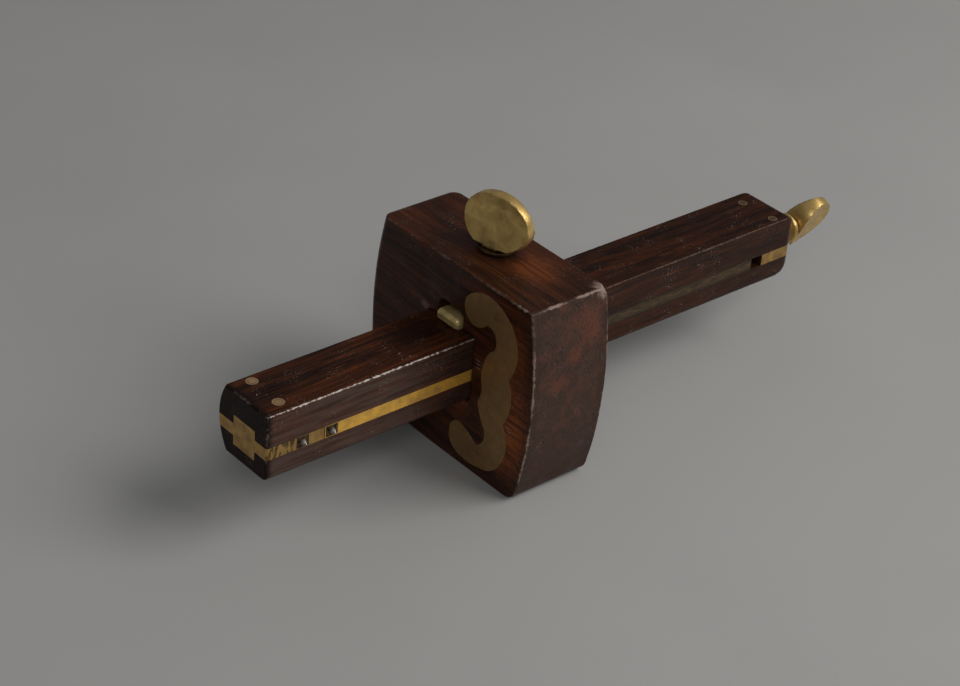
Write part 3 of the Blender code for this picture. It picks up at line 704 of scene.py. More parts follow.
# Each brass finish's two colours, how tarnished and how specked it is, and the strength of its bumps.
BRASSES = {
    "head_finish": ("brass_bright", "brass_olive", 0.42, 0.8, 0.4),
    "shoe_finish": ("brass_pale", "brass_olive", 0.30, 0.75, 0.4),
    "strip_finish": ("brass_gold", "brass_brown", 0.20, 0.45, 0.3),
    "block_finish": ("brass_block", "brass_brown", 0.55, 0.35, 0.4),
    "plate_finish": ("plate_olive", "plate_dark", 0.50, 0.15, 0.3),
    "rivet_finish": ("rivet_pale", "brass_brown", 0.45, 0.4, 0.5),
    "bush_finish": ("brass_brown", "brass_dirt", 0.65, 0.5, 0.5),
}


def strip_marks(t, position, color, rough):
    """The slide is bright up to the fence and dull bronze with grime beyond it."""
    c = colours()
    x, _, z = t.split(position)
    back = t.between(x, FENCE_LOW.x / MM, FENCE_LOW.x / MM + 12.0)
    grime = t.noise(t.scaled(position, (0.25, 1, 2.2)), 1, 5, 0.7)
    old = t.mix(t.between(grime, 0.40, 0.60), c.bronze, c.brass_dirt)
    lip = t.size(t.minus(z, CORE_Z / MM))
    old = t.mix(t.between(lip, 0.7, 1.5, 0.0, 0.85), old, c.brass_dirt)
    return t.mix(back, color, old), t.blend(back, rough, 0.55)


def block_reflection_bands(t, position, color, rough):
    """Dark bands across the spur side between the front end and the spurs: painted reflections of uneven filed
    facets.
    """
    x, y, _ = t.split(position)
    on_side = t.between(y, SPUR_FACE / MM + 0.9, SPUR_FACE / MM + 0.2)
    bands = t.noise(t.scaled(position, (1.1, 0.02, 0.22)), 1, 3, 0.65)
    near = t.between(x, STEM_FRONT / MM + 13.0, STEM_FRONT / MM + 9.0, 0.25, 1.0)
    mask = t.times(t.times(t.between(bands, 0.49, 0.57), on_side), near)
    return t.tinted(color, mask, 0.75, colours().brass_dirt), rough


def plate_marks(t, position, color, rough):
    """A brown stain round the lower pin, and a little polish by the upper one."""
    for centre, radii, ragged, strength in (
        ((-43, -14.5, 8.0), (3, 6.5, 5), 1.2, 0.6), ((-43, -19.2, 54.6), (3, 2.2, 2.4), 0.8, 0.5)
    ):
        stain = t.patch(position, centre, radii, ragged)
        color = t.tinted(color, stain, strength, colours().plate_stain)
    return color, t.plus(rough, 0.2)


def rivet_marks(t, position, color, rough):
    """A dark ring round each rivet and a hammered one on it. The rear pair has darkened."""
    x, y, _ = t.split(position)
    nearest = None
    for _, centre, radius in rivet_places():
        away = t.combined(t.minus(x, centre.x / MM), t.minus(y, centre.y / MM))
        share = t.over(t.vector("LENGTH", away), radius / MM)
        nearest = share if nearest is None else t.least(nearest, share)
    rim = t.between(nearest, 0.86, 0.98)
    ring = t.minus(1.0, t.between(t.size(t.minus(nearest, 0.6)), 0.03, 0.13))
    dark = t.most(t.times(rim, 0.8), t.times(ring, 0.5))
    old = t.times(t.between(x, 0.0, 10.0), t.between(nearest, 0.92, 0.62, 0.35, 0.85))
    color = t.mix(t.most(dark, old), color, colours().brass_dirt)
    return color, t.blend(dark, t.plus(rough, 0.15), 0.7)


def head_dirt_and_shade(t, position, color, rough):
    """Dirt and painted shade in the neck of a thumb head, where fingers don't reach and the head shades it."""
    c = colours()
    low = t.patch(position, mm((LOCK_AXIS.x, 0, BUSH_HIGH.z)), (8, 8, 3.6), 0.8)
    neck = (STEM_REAR / MM + 8.8, 0, CORE_Z / MM)
    far = t.patch(position, neck, (2.6, 6, 6), 0.9)
    # This mask carries both the dirt and the painted shade under the heads.
    dirt = t.times(t.most(low, far), 0.8)
    return t.mix(dirt, color, c.brass_dirt), t.blend(dirt, rough, 0.6)


def spur_steel():
    """Blackened steel, bright where the points are filed."""
    material, t, shader, position = new_material("spur_finish")
    c = colours()
    cloud = t.noise(position, 0.9, 5, 0.65)
    color = t.mix(t.between(cloud, 0.4, 0.62), c.steel_dark, c.steel_brown)
    _, y, _ = t.split(position)
    tip = t.between(y, SPUR_FACE / MM - 0.2, SPUR_FACE / MM - 1.0)
    color = t.mix(tip, color, c.steel_bright)
    t.feed(shader.inputs["Base Color"], color)
    t.feed(shader.inputs["Roughness"], t.blend(tip, t.between(cloud, 0.3, 0.7, 0.35, 0.6), 0.3))
    shader.inputs["Metallic"].default_value = 1.0
    bumped(t, shader, cloud, 0.4, 0.05 * MM)
    return material


def material(name):
    """A finish by name, built the first time that a piece asks for it."""
    found = bpy.data.materials.get(name)
    if found:
        return found
    if not bpy.data.node_groups.get("Patch"):
        build_groups()
    makers = {
        "fence_finish": fence_rosewood,
        "stem_finish": stem_rosewood,
        "spur_finish": spur_steel,
        "head_finish": lambda: brass(name, head_dirt_and_shade, 0.7),
        "shoe_finish": lambda: brass(name, None, 0.55),
        "strip_finish": lambda: brass(name, strip_marks, 0.5),
        "block_finish": lambda: brass(name, block_reflection_bands),
        "plate_finish": lambda: brass(name, plate_marks, 0.85),
        "rivet_finish": lambda: brass(name, rivet_marks, 0.5),
        "bush_finish": lambda: brass(name),
    }
    return makers[name]()


# ---------------------------------------------------------------- the wood

def bow_y(z):
    """The bowed side's Y at a height: the circle through its top, middle and bottom."""
    ux, uy, radius = circle((BOW_BOTTOM, STEM_BOTTOM), (BOW_MIDDLE, CORE_Z + MM), (BOW_TOP, STEM_TOP))
    return ux + math.sqrt(max(radius * radius - (z - uy) ** 2, 0.0))


def stem_outline(grow=0.0, lower=2.0 * MM):
    """The whole stem's Y, Z outline, counter-clockwise."""
    low, high = STEM_BOTTOM - grow, STEM_TOP + grow
    steps = 22
    heights = [low + (high - low) * i / steps for i in range(steps + 1)]
    bow = [(bow_y(min(max(z, STEM_BOTTOM), STEM_TOP)) + grow, z) for z in heights]
    outline = bow + [(SPUR_FACE - grow, high), (SPUR_FACE - grow, low)]
    return rounded(outline, [0] * len(bow) + [0.5 * MM, lower], 6)


def fallen(x, reach, drop):
    """How far a side has fallen at x, on a quarter ellipse that ends at the far end."""
    along = min(max((x - STEM_REAR + reach) / reach, 0.0), 1.0)
    return drop * (1 - math.sqrt(1 - along * along))


def stem_blank(sizes):
    """The stem in one piece, its ends worn round. The wood and the brass are both cut from it."""
    wear = sizes.end_wear
    sections = []
    for i in range(7):
        t = math.pi / 2 * (1 - i / 6)
        sections.append((STEM_FRONT + wear * (1 - math.sin(t)), stem_outline(-wear * (1 - math.cos(t)))))
    full = stem_outline()
    tall = STEM_TOP - STEM_BOTTOM
    wide = BOW_MIDDLE - SPUR_FACE
    for i in range(19):
        x = STEM_REAR - 6.2 * MM * (1 - math.sin(math.pi / 2 * i / 18))
        low = STEM_BOTTOM + fallen(x, 6.2 * MM, 7.0 * MM)
        high = STEM_TOP - fallen(x, 3.9 * MM, 7.2 * MM)
        near = SPUR_FACE + fallen(x, 3.6 * MM, 3.2 * MM)
        far = BOW_MIDDLE - fallen(x, 5.8 * MM, 6.4 * MM)
        outline = [
            (near + (y - SPUR_FACE) * (far - near) / wide, low + (z - STEM_BOTTOM) * (high - low) / tall)
            for y, z in full
        ]
        sections.append((x, outline))
    builder = lofted(sections)
    mesh = bpy.data.meshes.new("blank")
    builder.to_mesh(mesh)
    builder.free()
    blank = bpy.data.objects.new("blank", mesh)
    bpy.context.scene.collection.objects.link(blank)
    return blank


RIVETS = ("front_rivet_left", "front_rivet_right", "rear_rivet_left", "rear_rivet_right")


def rivet_places():
    """Each rivet's name, place and top radius, from its node's box."""
    for name in RIVETS:
        low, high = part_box(name)
        yield name, (low + high) / 2, (high.x - low.x) / 2


def stem_halves(sizes):
    blank = stem_blank(sizes)
    fit = sizes.fit
    for name, side in (("stem_upper", 1), ("stem_lower", -1)):
        piece = finished(
            name + "_wood", mesh_of(blank), "stem_finish", "stem", name, slot="rosewood_stem"
        )
        away = block(
            (STEM_FRONT - MM, -20 * MM, CORE_Z - (0 if side < 0 else 20 * MM)),
            (STEM_REAR + MM, 20 * MM, CORE_Z + (0 if side > 0 else 20 * MM)),
        )
        channel = drawn(cross_outline(fit, 2 * MM), STEM_FRONT - MM, STEM_REAR + MM)
        holes = [
            rod(radius + 0.02 * MM, (c.x, c.y, CORE_Z), (c.x, c.y, STEM_TOP + MM), 48)
            for _, c, radius in rivet_places()
        ]
        combined(piece, [away, channel] + (holes if side > 0 else []))
        smoothed(piece)
    bpy.data.objects.remove(blank)


def fence_outline():
    """The fence in Y, Z: bowed ends, flat top, rounded foot."""
    top, widest, bottom = 32.7 * MM, FENCE_HIGH.y - 0.02 * MM, 31.8 * MM
    foot = 4.0 * MM
    bow = arc((bottom, 0), (widest, CORE_Z + MM), (top, FENCE_HIGH.z), 30) + [(top, FENCE_HIGH.z)]
    bow = [point for point in bow if point[1] > foot]
    y, z = bow[0]
    corner_y = y - 0.6 * MM
    toe = (corner_y - foot, 0.0)
    via = (corner_y - foot * 0.293 + 0.15 * MM, foot * 0.293)
    side = arc(toe, via, (y, z), 10) + bow
    return side + [(-y, z) for y, z in reversed(side)]


def plate_outline():
    """The scrolled plate in Y, Z, counter-clockwise, as arcs that meet at soft steps and cusps."""
    edge, core = SPUR_FACE / MM, CORE_Z / MM
    arcs = [
        ((0.4, 16.3), (4.7, 20.0), (3.3, 25.0), 12),
        ((3.3, 25.0), (0.8, 26.9), (-4.5, 28.4), 8),
        ((-4.5, 28.4), (-12.1, 26.4), (-18.5, 15.5), 18),
        ((-18.5, 15.5), (-18.2, 12.8), (-15.8, 7.0), 8),
        ((-15.8, 7.0), (-17.4, 1.0), (-15.1, -8.4), 12),
        ((-15.1, -8.4), (-17.2, -15.0), (-15.5, -21.7), 10),
        ((-15.5, -21.7), (-12.0, -26.0), (-6.6, -28.0), 10),
        ((-6.6, -28.0), (-2.0, -28.7), (1.9, -28.3), 6),
        ((1.9, -28.3), (5.5, -26.8), (7.1, -22.0), 10),
        ((7.1, -22.0), (6.3, -19.3), (2.9, -17.3), 8),
        ((2.9, -17.3), (0.0, -18.3), (-4.8, -21.0), 8),
        ((-4.8, -21.0), (-7.6, -18.0), (-7.7, -14.6), 8),
        ((-7.7, -14.6), (-6.0, -12.0), (-3.7, -6.4), 8),
        ((-4.0, -6.0), (-5.0, -3.0), (-4.8, -0.5), 6),
        ((-4.8, -0.5), (-4.6, 5.5), (-7.3, 11.6), 10),
        ((-7.3, 11.6), (-8.8, 12.9), (-9.3, 15.5), 6),
        ((-9.3, 15.5), (-8.4, 18.0), (-4.9, 19.0), 8),
        ((-4.9, 19.0), (-2.5, 17.0), (0.4, 16.3), 8),
    ]
    points = []
    for start, via, end, steps in arcs:
        points += arc(start, via, end, steps)
    return [((y + edge) * MM, (z + core) * MM) for y, z in points]


def fence(sizes):
    front, rear, top = FENCE_LOW.x, FENCE_HIGH.x, FENCE_HIGH.z
    builder = drawn(fence_outline(), front, rear)

    def edges(test):
        return [e for e in builder.edges if test(*(v.co for v in e.verts))]

    def bevel(chosen, offset, segments):
        bmesh.ops.bevel(
            builder, geom=chosen, offset=offset, affect="EDGES", segments=segments, profile=0.5, material=-1
        )

    rim = lambda a, b: abs(a.x - b.x) < MM / 2 and abs(a.z - b.z) > MM / 20
    bevel(edges(lambda a, b: rim(a, b) and min(a.y, b.y) > 24 * MM), 3.0 * MM, 8)
    # The top corner nearest the hand has been knocked off.
    corner = Vector((rear, -32.7 * MM, top))
    for normal, depth in (((1, -1, 1.2), 1.1), ((0.5, -1.3, 1.0), 0.9)):
        n = Vector(normal).normalized()
        cut = bmesh.ops.bisect_plane(
            builder, geom=builder.verts[:] + builder.edges[:] + builder.faces[:],
            plane_co=corner - n * depth * MM, plane_no=n, clear_outer=True,
        )
        bmesh.ops.holes_fill(builder, edges=[g for g in cut["geom_cut"] if isinstance(g, bmesh.types.BMEdge)])
    bmesh.ops.recalc_face_normals(builder, faces=builder.faces)
    piece = finished("fence_wood", builder, "fence_finish", "fence", "fence_block", slot="rosewood_fence")

    channel_foot, channel_top, channel_half = STEM_TOP - MM, BUSH_LOW.z - 0.2 * MM, 5.2 * MM
    corners = [(-channel_half, channel_foot), (channel_half, channel_foot)]
    corners += [(channel_half, channel_top), (-channel_half, channel_top)]
    channel = rounded(corners, [0, 0, 2.0 * MM, 2.0 * MM])
    plate_back = PLATE_HIGH.x + 0.05 * MM
    combined(piece, [
        drawn(stem_outline(0.28 * MM, 1.4 * MM), front - MM, rear + MM),
        drawn(channel, front - MM, rear + MM),
        rod(4.3 * MM, (LOCK_AXIS.x, 0, channel_top - MM), (LOCK_AXIS.x, 0, top + MM)),
    ])
    eased(piece, sizes.arris_wear, 3, 30)
    combined(piece, [drawn(grown(plate_outline(), 0.06 * MM), front - MM, plate_back)])
    for pin in ("wear_plate_pin_upper", "wear_plate_pin_lower"):
        low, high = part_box(pin)
        y, z = ((low + high) / 2).yz
        combined(piece, [rod(0.98 * MM, (front, y, z), (high.x + 0.1 * MM, y, z), 32)])
    smoothed(piece)


# ---------------------------------------------------------------- the brass and steel

def cross_outline(grow=0.0, past=0.0):
    """The brass's Y, Z section: a full-width strip with a square core. past lengthens the strip's ends."""
    half, tall, strip = CORE_HALF_WIDTH + grow, CORE_HALF_HEIGHT + grow, STRIP_HALF + grow
    low, high = CORE_Z - strip, CORE_Z + strip
    left, right = SPUR_FACE - past, BOW_MIDDLE + past
    outline = [(half, CORE_Z - tall), (half, low), (right, low), (right, high), (half, high)]
    outline += [(half, CORE_Z + tall), (-half, CORE_Z + tall), (-half, high), (left, high), (left, low)]
    return outline + [(-half, low), (-half, CORE_Z - tall)]


def spur_room(node, grow):
    low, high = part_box(node)
    return block(
        (low.x - grow, SPUR_FACE - MM, CORE_Z - 1.7 * MM - grow),
        (high.x + grow, high.y + grow, CORE_Z + 1.7 * MM + grow),
    )


def cross_piece(blank, name, node, start, end, cuts, finish, body, slot):
    """A length of the brass, shaped like the stem outside and cut for what passes through it."""
    builder = drawn(cross_outline(0, MM), start, end)
    piece = finished(name, builder, finish, body, node, slot=slot)
    combined(piece, [mesh_of(blank)], "INTERSECT")
    combined(piece, cuts)
    return smoothed(piece)


def brass_blocks(sizes):
    blank = stem_blank(sizes)
    gap = 0.04 * MM
    cross_piece(
        blank, "front_block_brass", "front_block", STEM_FRONT - MM, FRONT_HIGH.x,
        [spur_room("fixed_spur", gap)], "block_finish", "stem", "block_brass",
    )
    cross_piece(
        blank, "rear_block_brass", "rear_block", REAR_LOW.x, STEM_REAR + MM,
        [rod(2.0 * MM, (REAR_LOW.x - MM, 0, CORE_Z), (STEM_REAR + MM, 0, CORE_Z))],
        "block_finish", "stem", "block_brass",
    )
    pin_x = SCREW_LOW.x + 5 * MM
    cross_piece(
        blank, "slide_brass", "slide_bar", CORE_LOW.x, CORE_HIGH.x,
        [
            spur_room("moving_spur", gap),
            rod(2.0 * MM, (SCREW_LOW.x - 0.3 * MM, 0, CORE_Z), (CORE_HIGH.x + MM, 0, CORE_Z)),
            rod(0.75 * MM, (pin_x, 2.1 * MM, CORE_LOW.z - MM), (pin_x, 2.1 * MM, CORE_HIGH.z + MM), 32),
        ],
        "strip_finish", "slide", "slide_brass",
    )
    bpy.data.objects.remove(blank)


def rivets():
    for name, centre, radius in rivet_places():
        top, bottom = STEM_TOP - 0.02 * MM, STEM_BOTTOM + 0.05 * MM
        profile = [(0, bottom), (MM, bottom), (MM, STEM_BOTTOM + 3 * MM), (radius, STEM_BOTTOM + 3 * MM)]
        profile += [(radius, top - 0.08 * MM), (radius - 0.03 * MM, top - 0.02 * MM)]
        profile += [(radius - 0.1 * MM, top)]
        # The hammer left a shallow ring and a dimple.
        ring = radius * 0.62
        profile += [(ring + 0.16 * MM, top), (ring, top - 0.05 * MM), (ring - 0.16 * MM, top)]
        profile += [(0.4 * MM, top), (0.2 * MM, top - 0.05 * MM), (0, top - 0.06 * MM)]
        place = Matrix.Translation((centre.x, centre.y, 0))
        piece = finished(
            name + "_brass", turned(profile, 48, place), "rivet_finish", "stem", name, slot="rivet_brass"
        )
        smoothed(piece, 40)


def spurs():
    for node, body in (("fixed_spur", "stem"), ("moving_spur", "slide")):
        low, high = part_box(node)
        root = SPUR_FACE + 0.02 * MM
        builder = block((low.x, root, CORE_Z - 1.7 * MM), (high.x, high.y, CORE_Z + 1.7 * MM))
        piece = finished(node + "_steel", builder, "spur_finish", body, node, slot="spur_steel")
        # The point is a filed cone with a slightly bellied side.
        reach = root - low.y
        side = [(1.15 * MM * (1 - (i / 10) ** 1.25), i / 10 * reach) for i in range(10)] + [(0, reach)]
        middle = Vector(((low.x + high.x) / 2, root, CORE_Z))
        place = Matrix.Translation(middle) @ Matrix.Rotation(math.pi / 2, 4, "X")
        combined(piece, [turned([(0, -0.6 * MM), (1.15 * MM, -0.6 * MM)] + side, 32, place)], "UNION")
        eased(piece, 0.08 * MM, 2, 50)


def plate(sizes):
    face, back = PLATE_LOW.x, PLATE_HIGH.x
    builder = drawn(plate_outline(), face, back)
    front = [e for e in builder.edges if all(v.co.x < face + 0.01 * MM for v in e.verts)]
    bmesh.ops.bevel(
        builder, geom=front, offset=0.10 * MM, affect="EDGES", segments=2, profile=0.5, material=-1
    )
    bmesh.ops.recalc_face_normals(builder, faces=builder.faces)
    piece = finished("wear_plate_brass", builder, "plate_finish", "fence", "wear_plate", slot="plate_brass")
    for pin in ("wear_plate_pin_upper", "wear_plate_pin_lower"):
        low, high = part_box(pin)
        y, z = ((low + high) / 2).yz
        reach = high.x - face
        combined(piece, [rod(0.93 * MM, (face - MM, y, z), (back + MM, y, z), 32)])
        profile = [(0, 0), (0.9 * MM, 0), (0.9 * MM, reach - 0.12 * MM)]
        profile += [(0.78 * MM, reach - 0.02 * MM), (0, reach)]
        place = Matrix.Translation((high.x, y, z)) @ Matrix.Rotation(-math.pi / 2, 4, "Y")
        builder = turned(profile, 32, place)
        smoothed(finished(pin + "_brass", builder, "plate_finish", "fence", pin, slot="plate_brass"))
    smoothed(piece)


def head_points(scale, seat, crown):
    """A thumb head's turned outline: neck, cove and oval, from the seat to the crown."""
    neck, half_width, half_height = 4.5 * MM * scale, 11.1 * MM * scale, 8.6 * MM * scale
    flare = seat + 0.35 * MM * scale
    centre = crown - half_height
    start = math.asin((flare + 0.25 * MM - centre) / half_height)
    angles = [start + (math.pi / 2 - start) * i / 48 for i in range(48)]
    oval = [(half_width * math.cos(t), centre + half_height * math.sin(t)) for t in angles]
    return [(neck - 0.3 * MM, seat), (neck, seat + 0.12 * MM), (neck, flare)] + oval + [(0, crown)]


def dishes(scale, crown, matrix):
    """The two wide cylinders that hollow a thumb head's faces."""
    radius = 24.0 * MM * scale
    height = crown - 4.6 * MM * scale
    for side in (1, -1):
        x = side * (radius + 1.45 * MM * scale)
        cutter = rod(radius, (x, -30 * MM, height), (x, 30 * MM, height), 220)
        bmesh.ops.transform(cutter, matrix=matrix, verts=cutter.verts)
        yield cutter


def thumb_screw(node, profile, scale, seat, crown, matrix, rim, sharpest, ridge):
    """A thumb screw from its shank's outline: the head with its dished faces, and the thread's ridge."""
    builder = turned(profile + head_points(scale, seat, crown), 128, matrix)
    piece = finished(node + "_brass", builder, "head_finish", node, node, slot="screw_brass")
    combined(piece, dishes(scale, crown, matrix))
    eased(piece, rim, 4, sharpest)
    threaded(piece, ridge)


def lock_screw(sizes):
    base = LOCK_LOW.z
    seat, crown = BUSH_HIGH.z + 0.3 * MM - base, LOCK_HIGH.z - base
    matrix = Matrix.Translation((LOCK_AXIS.x, 0, base)) @ Matrix.Rotation(LOCK_HEAD_TURN, 4, "Z")
    shank = 2.35 * MM
    profile = [(0, 0), (shank - 0.4 * MM, 0), (shank, 0.4 * MM), (shank, seat)]
    ridge = thread(2.6 * MM, 0.3 * MM, 1.0 * MM, 0.6 * MM, seat - 0.4 * MM, matrix)
    thumb_screw("lock_screw", profile, 1.0, seat, crown, matrix, sizes.head_rim, 30, ridge)


def lock_bush():
    top, low = BUSH_HIGH.z, BUSH_LOW.z
    flange = top - 1.2 * MM
    wide, body, bore = 5.5 * MM, 4.2 * MM, 2.75 * MM
    profile = [
        (bore, low), (body, low), (body, flange), (wide - 0.1 * MM, flange), (wide, flange + 0.15 * MM),
        (wide, top - 0.45 * MM), (wide - 0.13 * MM, top - 0.13 * MM), (wide - 0.45 * MM, top),
        (bore + 0.3 * MM, top), (bore, top - 0.3 * MM), (bore, low),
    ]
    place = Matrix.Translation((LOCK_AXIS.x, 0, 0))
    builder = turned(profile, 80, place)
    smoothed(finished("lock_bush_brass", builder, "bush_finish", "fence", "lock_bush", slot="bush_brass"))


def shoe():
    """The shoe, rounded over at both ends like a thumb nail."""
    low, tall, half = SHOE_LOW.z, SHOE_HIGH.z - SHOE_LOW.z - 0.4 * MM, SHOE_HIGH.y - 0.05 * MM
    proud = 1.3 * MM

    def outline(inset):
        top, foot, side = low + tall - inset, low + 0.35 * inset, half - inset
        radius = 1.75 * MM - 0.8 * inset
        points = [(-side, foot), (side, foot), (side, top), (-side, top)]
        return rounded(points, [0.3 * MM, 0.3 * MM, radius, radius], 8)

    sections = []
    for i in range(9):
        t = math.pi / 2 * i / 8
        x = SHOE_LOW.x + proud + 1.7 * MM * (1 - math.sin(t))
        sections.append((x, outline(1.45 * MM * (1 - math.cos(t)))))
    sections = sections[::-1]
    middle = SHOE_LOW.x + SHOE_HIGH.x
    sections += [(middle - x, points) for x, points in reversed(sections)]
    builder = lofted(sections)
    piece = finished("pressure_shoe_brass", builder, "shoe_finish", "shoe", "pressure_shoe", slot="shoe_brass")
    smoothed(piece, 50)


def adjust_screw(sizes):
    start = SCREW_LOW.x
    length = STEM_REAR + 7.34 * MM - start
    seat = length + 1.5 * MM
    crown = SCREW_HIGH.x - start
    groove = 5.0 * MM
    lay_down = Matrix.Rotation(math.pi / 2, 4, "Y")
    matrix = Matrix.Translation((start, 0, CORE_Z)) @ Matrix.Rotation(ADJUST_HEAD_TURN, 4, "X") @ lay_down
    shank, collar = 1.62 * MM, 4.8 * MM
    profile = [
        (0, 0), (1.9 * MM, 0), (1.9 * MM, groove - MM), (1.15 * MM, groove - MM), (1.15 * MM, groove + MM),
        (1.9 * MM, groove + MM), (1.9 * MM, groove + 2 * MM), (shank, groove + 2.2 * MM),
        (shank, length - 0.6 * MM), (2.2 * MM, length - 0.1 * MM), (collar - 0.5 * MM, length),
        (collar - 0.12 * MM, length + 0.15 * MM), (collar, length + 0.5 * MM), (collar, seat - 0.5 * MM),
        (collar - 0.12 * MM, seat - 0.15 * MM), (collar - 0.5 * MM, seat),
    ]
    ridge = thread(1.9 * MM, 0.28 * MM, 0.798 * MM, groove + 2.4 * MM, length - 0.8 * MM, matrix)
    thumb_screw("adjust_screw", profile, 0.907, seat, crown, matrix, sizes.head_rim, 42, ridge)


def swivel_pin():
    low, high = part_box("swivel_pin")
    centre, radius = (low + high) / 2, (high.x - low.x) / 2
    reach = (high.z - low.z) / 2
    edge = radius - 0.1 * MM
    profile = [(0, -reach), (edge, -reach), (radius, 0.1 * MM - reach)]
    profile += [(radius, reach - 0.1 * MM), (edge, reach), (0, reach)]
    builder = turned(profile, 32, Matrix.Translation(centre))
    smoothed(finished("swivel_pin_steel", builder, "spur_finish", "slide", "swivel_pin", slot="spur_steel"))


# ---------------------------------------------------------------- stage

def floor_material():
    material_, t, shader, position = new_material("bench")
    c = colours()
    cloud = t.noise(position, 0.006, 4, 0.55)
    fine = t.noise(position, 0.9, 3, 0.7)
    color = t.mix(t.between(cloud, 0.35, 0.65), c.floor, tuple(v * 1.05 for v in c.floor))
    t.feed(shader.inputs["Base Color"], color)
    t.feed(shader.inputs["Roughness"], t.between(fine, 0.3, 0.7, 0.5, 0.6))
    shader.inputs["Specular IOR Level"].default_value = 0.3
    return material_


def area_light(name, size, power, place, target, color=(1, 1, 1)):
    data = bpy.data.lights.new(name, "AREA")
    data.shape = "RECTANGLE"
    data.size, data.size_y = size
    data.energy = power
    data.color = color
    light = bpy.data.objects.new(name, data)
    bpy.context.scene.collection.objects.link(light)
    light.location = place
    light.rotation_euler = (Vector(target) - Vector(place)).to_track_quat("-Z", "Y").to_euler()


def stage(sizes):
    scene = bpy.context.scene
    builder = bmesh.new()
    bmesh.ops.create_grid(builder, x_segments=1, y_segments=1, size=6.0)
    mesh = bpy.data.meshes.new("floor")
    builder.to_mesh(mesh)
    builder.free()
    floor = bpy.data.objects.new("floor", mesh)
    scene.collection.objects.link(floor)
    mesh.materials.append(floor_material())
    floor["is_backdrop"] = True

    world = bpy.data.worlds.new("studio")
    scene.world = world
    world.use_nodes = True
    background = world.node_tree.nodes["Background"]
    background.inputs["Color"].default_value = (0.96, 0.98, 1.0, 1.0)
    background.inputs["Strength"].default_value = sizes.sky
    target = (0, 0, 0.03)
    area_light("key", (1.0, 0.8), sizes.key, (0.62, -0.80, 0.95), target, (1.0, 0.985, 0.96))
    area_light("fill", (0.40, 0.30), sizes.fill, (-0.58, -0.66, 0.78), target)
    area_light("rim", (0.60, 0.30), sizes.rim, (0.60, -0.15, 0.82), target)

    camera_data = bpy.data.cameras.new("camera")
    camera_data.lens = sizes.lens
    camera_data.sensor_width = 36.0
    camera_data.clip_start = 0.01
    camera = bpy.data.objects.new("camera", camera_data)
    scene.collection.objects.link(camera)
    azimuth, elevation, roll = sizes.azimuth, sizes.elevation, sizes.roll
    level = math.cos(elevation)
    back = Vector((math.sin(azimuth) * level, -math.cos(azimuth) * level, math.sin(elevation)))
    right = Vector((0, 0, 1)).cross(back).normalized()
    up = back.cross(right)
    right, up = math.cos(roll) * right + math.sin(roll) * up, math.cos(roll) * up - math.sin(roll) * right
    matrix = Matrix((right, up, back)).transposed().to_4x4()
    matrix.translation = Vector(sizes.camera_place)
    camera.matrix_world = matrix
    scene.camera = camera
    scene.view_settings.view_transform = "Standard"


# ---------------------------------------------------------------- add-on

def length(label, description, default):
    return FloatProperty(name=label, description=description, default=default, min=0.0, unit="LENGTH")


def angle(label, description, degrees):
    return FloatProperty(name=label, description=description, default=math.radians(degrees), subtype="ANGLE")


def power(label, description, default):
    return FloatProperty(name=label, description=description, default=default, min=0.0, unit="POWER")


def colour(label, description, default):
    return FloatVectorProperty(
        name=label, description=description, default=default, size=3, min=0.0, max=1.0, subtype="COLOR"
    )


class GaugeSizes(bpy.types.PropertyGroup):
    """Sizes of the wear, and of the stage."""

    fit: length("Fit", "Gap between the wood and the brass", 0.03 * MM)
    arris_wear: length("Arris wear", "Rounding of the fence's sharp edges", 0.45 * MM)
    end_wear: length("End wear", "Rounding of the stem's ends", 0.75 * MM)
    head_rim: length("Head rim", "Rounding of the thumb heads' rims", 0.30 * MM)
    lens: FloatProperty(name="Lens", description="Focal length", default=90.8, unit="CAMERA")
    azimuth: angle("Azimuth", "Turn of the view", -42.9)
    elevation: angle("Elevation", "Height of the view", 32.06)
    roll: angle("Roll", "Tilt of the view", 5.13)
    camera_place: FloatVectorProperty(
        name="Camera", description="Where the camera stands", default=(-0.43167, -0.4313, 0.4009),
        unit="LENGTH",
    )
    sky: FloatProperty(name="Sky", description="Light from all round", default=0.13, min=0.0)
    key: power("Key", "Power of the main light", 11.0)
    rim: power("Rim", "Power of the top light", 0.45)
    fill: power("Fill", "Power of the second light", 1.3)


